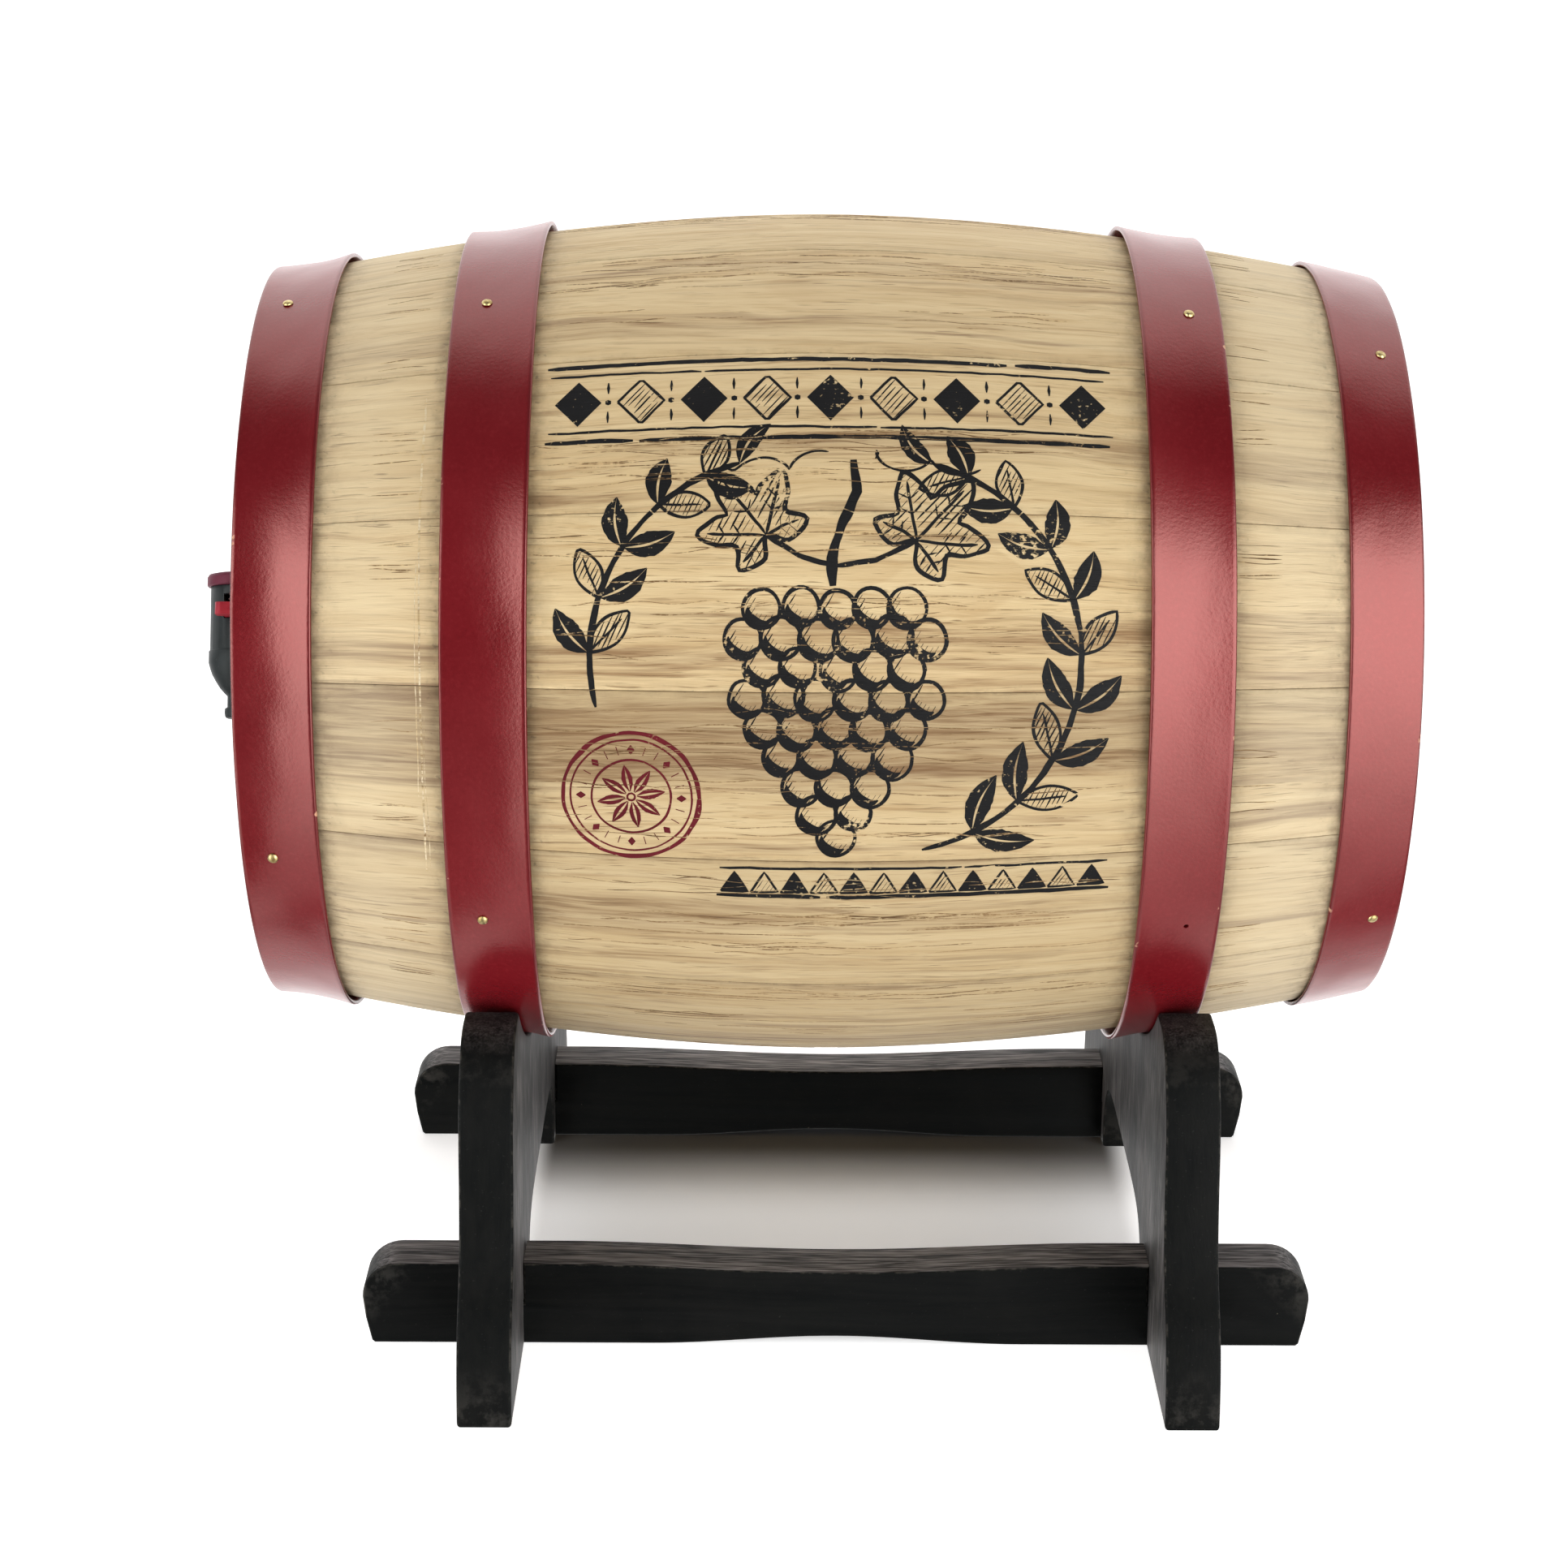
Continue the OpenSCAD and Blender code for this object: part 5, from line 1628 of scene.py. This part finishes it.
# ---------------------------------------------------------------- the bag
def make_bag():
    """A filled pouch: it lies in the lower half of the cask and is drawn up to its spout, so it creases there."""
    top = -39.0

    def radius(x):
        a = abs(x)
        return float(np.interp(a, [0, 50, 100, 130, 136], [RM - TH - 3.0, bulge(50) - TH - 3.0, bulge(100) - TH - 3.0, 103.0, 95.0]))
    V, F = [], []
    m = 72
    xs = [-135.6, -135.0, -133.5, -131.0, -127.5, -123.0] + [float(v) for v in np.linspace(-117, 117, 40)] + [123.0, 127.5, 131.0, 133.5, 135.0, 135.6]
    for x in xs:
        R = radius(x)
        e = max(0.0, (abs(x) - 112.0) / 24.0)
        sc = max(0.0, 1.0 - e ** 3.2) ** (1 / 2.4)
        zc = (top - R) / 2
        for j in range(m):
            t = 2 * math.pi * j / m
            dy, dz = math.cos(t), math.sin(t)
            b = zc * dz
            r1 = -b + math.sqrt(max(b * b + R * R - zc * zc, 1.0))
            r2 = (top - zc) / dz if dz > 0.02 else 1e4
            r = (r1 ** -9 + r2 ** -9) ** (-1 / 9)
            V.append((x + CX, r * sc * dy, AZ + zc + r * sc * dz))
    F += tube_faces(len(xs), m)
    base = len(V)
    for i in range(25):
        a = math.pi * i / 24
        r = max(48.5 * math.sin(a), 0.4)
        for j in range(m):
            t = 2 * math.pi * j / m
            V.append((CX - 94 - 48.5 * math.cos(a), r * math.cos(t), AZ - 20 + r * math.sin(t)))
    F += tube_faces(25, m, base=base)
    base = len(V)
    prof = [(-164.0, 17.0), (-158, 19.5), (-148, 24.0), (-138, 29.0), (-126, 34.5), (-112, 38.0)]
    for x, r in prof:
        for j in range(m):
            t = 2 * math.pi * j / m
            V.append((x + CX, r * math.cos(t), AZ + r * math.sin(t)))
    F += tube_faces(len(prof), m, base=base)
    me = bpy.data.meshes.new("bag_form")
    me.from_pydata([tuple(c * MM for c in v) for v in V], [], F)
    me.update()
    tmp = bpy.data.objects.new("bag_form", me)
    bpy.context.scene.collection.objects.link(tmp)
    q = tmp.modifiers.new("one", "REMESH")
    q.mode, q.voxel_size = "VOXEL", 0.0031
    q2 = tmp.modifiers.new("soft", "SMOOTH")
    q2.factor, q2.iterations = 0.5, 8
    dg = bpy.context.evaluated_depsgraph_get()
    ev = tmp.evaluated_get(dg)
    em = ev.to_mesh()
    out, nor = [], []
    for v in em.vertices:
        out.append([c / MM for c in v.co])
        nor.append(tuple(v.normal))
    faces = [tuple(f.vertices) for f in em.polygons]
    ev.to_mesh_clear()
    bpy.data.objects.remove(tmp)
    bpy.data.meshes.remove(me)
    sx, sz = CX - 150.0, AZ
    for p, nn in zip(out, nor):
        x, y, z = p
        # creases run out from the spout and along the seams, over a slower sag
        d = math.sqrt((x - sx) ** 2 + y * y + (z - sz) ** 2)
        ang = math.atan2(y, sz + 10 - z)
        near = math.exp(-d / 85.0)
        r1 = 1.0 - abs(nz(ang * 3.4, d / 60.0, 2.0)) * 2.4
        r2 = 1.0 - abs(nz(x / 30.0, y / 13.0, z / 26.0 + 7.0)) * 2.6
        r3 = 1.0 - abs(nz(x / 11.0, y / 24.0, z / 15.0 + 3.0)) * 2.8
        w = 3.4 * near * max(0.0, r1) ** 2 + 1.7 * max(0.0, r2) ** 3 + 0.8 * max(0.0, r3) ** 3
        w += (1.2 + 1.6 * nz(x / 60.0, y / 50.0, 11.0)) * (1.0 if nn[2] > 0.3 else 0.4)
        seam = math.exp(-((abs(x - CX) - 128.0) / 6.0) ** 2)
        w += seam * 1.3 * (0.5 + 0.5 * math.sin(math.atan2(y, z - AZ + 80) * 46.0))
        w = max(0.25, w)
        for c in range(3):
            p[c] -= nn[c] * w
    ob = make("pleated_wine_bag", out, faces, FILM, "cask", ["wine_bag"], smooth=60)
    return ob


make_bag()


# ---------------------------------------------------------------- CAD nodes that stay
def finish_node(node, mat, slot, bevel=None, angle=30, seg=2):
    ob = NODES[node]
    if not ob.data.materials:
        ob.data.materials.append(mat)
    for i in range(len(ob.material_slots)):
        ob.material_slots[i].material = mat
    if bevel:
        w = ob.modifiers.new("weld", "WELD")
        w.merge_threshold = 1e-6
        b = ob.modifiers.new("ease", "BEVEL")
        b.width = bevel * MM
        b.segments = seg
        b.limit_method = "ANGLE"
        b.angle_limit = rad(angle)
        b.harden_normals = True
        b.use_clamp_overlap = True


for n, m, s, w in [
    ("tap_body", TAP_BLACK, "tap_black", 0.35), ("tap_cap", TAP_MAROON, "tap_maroon", 0.5),
    ("tap_lever", TAP_RED, "tap_red", 0.8), ("tap_stem", TAP_RED, "tap_red", None),
    ("tap_valve", RUBBER, "seal_rubber", None), ("tap_gasket", RUBBER, "seal_rubber", None),
    ("bag_spout", SPOUT, "spout_plastic", 0.4),
    ("spout_clip", SPOUT, "spout_plastic", 0.5), 
    ("hinge_upper_frame_leaf", HINGE, "hinge_brass", 0.2), ("hinge_lower_frame_leaf", HINGE, "hinge_brass", 0.2),
    ("hinge_upper_door_leaf", HINGE, "hinge_brass", 0.2), ("hinge_lower_door_leaf", HINGE, "hinge_brass", 0.2),
    ("hinge_pins", BRASS, "hinge_brass", None), ("hinge_frame_screws", BRASS, "hinge_brass", None),
    ("hinge_door_screws", BRASS, "hinge_brass", None), ("door_knob", BRASS, "hinge_brass", 0.3),
    ("catch_magnet", MAGNET, "magnet", None), ("catch_striker", STEEL, "steel", 0.2),
    ("door_batten_screws", STEEL, "steel", 0.2), ("stand_screws", STEEL, "steel", 0.2),
    ("front_head_dowels", OAK_LOOSE, "head_oak", None), ("door_stop_blocks", OAK_LOOSE, "head_oak", 0.5),
]:
    finish_node(n, m, s, w)


# ---------------------------------------------------------------- stage
LIGHTS = (5.0, 5.6, 14.0, 0.34, 0.85)
TENT = {"r0": 15.0, "l0": -34.0, "right": 6.0, "left": 5.6, "dim": 0.05, "back": 1.6}


def make_stage():
    me = bpy.data.meshes.new("floor")
    s = 14.0
    me.from_pydata([(-s, -s, 0), (s, -s, 0), (s, s, 0), (-s, s, 0)], [], [(0, 1, 2, 3)])
    ob = bpy.data.objects.new("floor", me)
    bpy.context.scene.collection.objects.link(ob)
    M = Mat("floor_paper")
    n = M.noise(M.obj(), detail=3, scale=60)
    fx, fy, fz = M.xyz(M.obj())
    # painted light: the floor glows outside the stand, and more towards the front
    side = M.mr(M.math("ABSOLUTE", M.math("SUBTRACT", fx, 0.018)), 0.100, 0.114, smooth=True)
    front = M.mr(M.math("MULTIPLY", fy, -1.0), 0.076, 0.094, smooth=True)
    back = M.mr(fy, 0.094, 0.13, smooth=True)
    out = M.math("MAXIMUM", M.math("MAXIMUM", side, front), back)
    far = M.math("ADD", M.math("MULTIPLY", out, 0.55), M.mr(fy, 0.045, 0.0, 0.0, 0.26, smooth=True))
    # painted shadow: between the rails the floor's colour is darkened towards the far rail
    shade = M.math("MULTIPLY", M.mr(fy, 0.016, 0.066, 0.0, 0.84, smooth=True), M.math("SUBTRACT", 1.0, out))
    paper = M.mix(M.mr(n, 0.3, 0.7), (0.90, 0.90, 0.90, 1), (0.93, 0.93, 0.93, 1))
    M.set(Base_Color=M.mix(shade, paper, (0.02, 0.02, 0.02, 1)), Roughness=0.7,
          Specular_IOR_Level=0.1, Emission_Color=(1, 1, 1, 1), Emission_Strength=far)
    me.materials.append(M.m)
    ob.visible_glossy = False

    # what the paint and the varnish mirror: two large soft boxes, a dim front and a bright back wall
    bpy.ops.mesh.primitive_uv_sphere_add(segments=48, ring_count=24, radius=5.0, location=(0, 0, 0.2))
    dome = bpy.context.object
    dome.name = "light_tent"
    D = Mat("light_tent")
    dx, dy, dz = D.xyz(D.vm("NORMALIZE", D.obj()))
    az = D.math("ARCTAN2", dx, D.math("MULTIPLY", dy, -1.0))
    el = D.math("ARCSINE", dz)
    dg = math.pi / 180

    def patch(a0, a1, s0, s1, level):
        f = D.math("MULTIPLY", D.mr(az, (a0 - s0) * dg, (a0 + s0) * dg, smooth=True), D.mr(az, (a1 + s1) * dg, (a1 - s1) * dg, smooth=True))
        f = D.math("MULTIPLY", f, D.mr(el, 48 * dg, 30 * dg, smooth=True))
        f = D.math("MULTIPLY", f, D.mr(el, -60 * dg, 16 * dg, 0.14, 1.0, smooth=True))
        return D.math("MULTIPLY", f, level)
    front = D.math("ADD", D.math("ADD", patch(TENT["r0"], 66, 4, 12, TENT["right"]), patch(-72, TENT["l0"], 12, 4, TENT["left"])), TENT["dim"])
    back_top = D.math("MULTIPLY", D.mr(dy, -0.03, 0.36, smooth=True), TENT["back"])
    low = D.math("MULTIPLY", D.mr(dz, -0.90, -0.985, smooth=True), 0.5)
    back_low = D.mr(dy, 0.1, 0.7, 0.6, 1.5)
    back_low = D.math("MULTIPLY", D.mr(dy, 0.0, 0.12, smooth=True), back_low)
    back = D.mix(D.mr(dz, -0.1, 0.1), D.comb(back_low, back_low, back_low), D.comb(back_top, back_top, back_top))
    tot = D.math("ADD", D.math("ADD", front, low), D.xyz(back)[0])
    em = D.new("ShaderNodeEmission")
    D.put(em.inputs[1], tot)
    D.t.links.new(em.outputs[0], D.out.inputs[0])
    D.m.cycles.emission_sampling = "NONE"
    dome.data.materials.append(D.m)
    dome.visible_camera = dome.visible_diffuse = dome.visible_transmission = False
    dome.visible_shadow = dome.visible_volume_scatter = False

    def area(name, loc, target, sx, sy, power, color=(1, 1, 1)):
        d = bpy.data.lights.new(name, "AREA")
        d.shape, d.size, d.size_y, d.energy, d.color = "RECTANGLE", sx, sy, power, color
        o = bpy.data.objects.new(name, d)
        o.location = loc
        o.rotation_mode = "QUATERNION"
        o.rotation_quaternion = (Vector(target) - Vector(loc)).to_track_quat("-Z", "Y")
        o.visible_camera = False
        o.visible_glossy = False
        bpy.context.scene.collection.objects.link(o)
    area("soft_left", (-1.15, -1.10, 0.62), (-0.05, 0, 0.22), 0.75, 1.15, LIGHTS[0])
    area("soft_right", (1.15, -1.10, 0.62), (0.05, 0, 0.22), 0.85, 1.15, LIGHTS[1])
    area("soft_top", (0.0, 0.9, 1.9), (0, 0, 0.2), 2.2, 1.6, LIGHTS[2])

    w = bpy.data.worlds.new("studio")
    bpy.context.scene.world = w
    w.use_nodes = True
    t = w.node_tree
    t.nodes.clear()
    out = t.nodes.new("ShaderNodeOutputWorld")
    bg = t.nodes.new("ShaderNodeBackground")
    cam = t.nodes.new("ShaderNodeBackground")
    lp = t.nodes.new("ShaderNodeLightPath")
    mx = t.nodes.new("ShaderNodeMixShader")
    tc = t.nodes.new("ShaderNodeTexCoord")
    sp = t.nodes.new("ShaderNodeSeparateXYZ")
    mr = t.nodes.new("ShaderNodeMapRange")
    t.links.new(tc.outputs["Generated"], sp.inputs[0])
    t.links.new(sp.outputs[1], mr.inputs[0])
    mr.inputs[1].default_value, mr.inputs[2].default_value = -0.7, 0.5
    mr.inputs[3].default_value, mr.inputs[4].default_value = LIGHTS[3], LIGHTS[4]
    bg.inputs[0].default_value = (1, 1, 1, 1)
    t.links.new(mr.outputs[0], bg.inputs[1])
    cam.inputs[0].default_value = (1, 1, 1, 1)
    cam.inputs[1].default_value = 1.0
    t.links.new(lp.outputs["Is Camera Ray"], mx.inputs[0])
    t.links.new(bg.outputs[0], mx.inputs[1])
    t.links.new(cam.outputs[0], mx.inputs[2])
    t.links.new(mx.outputs[0], out.inputs[0])


make_stage()
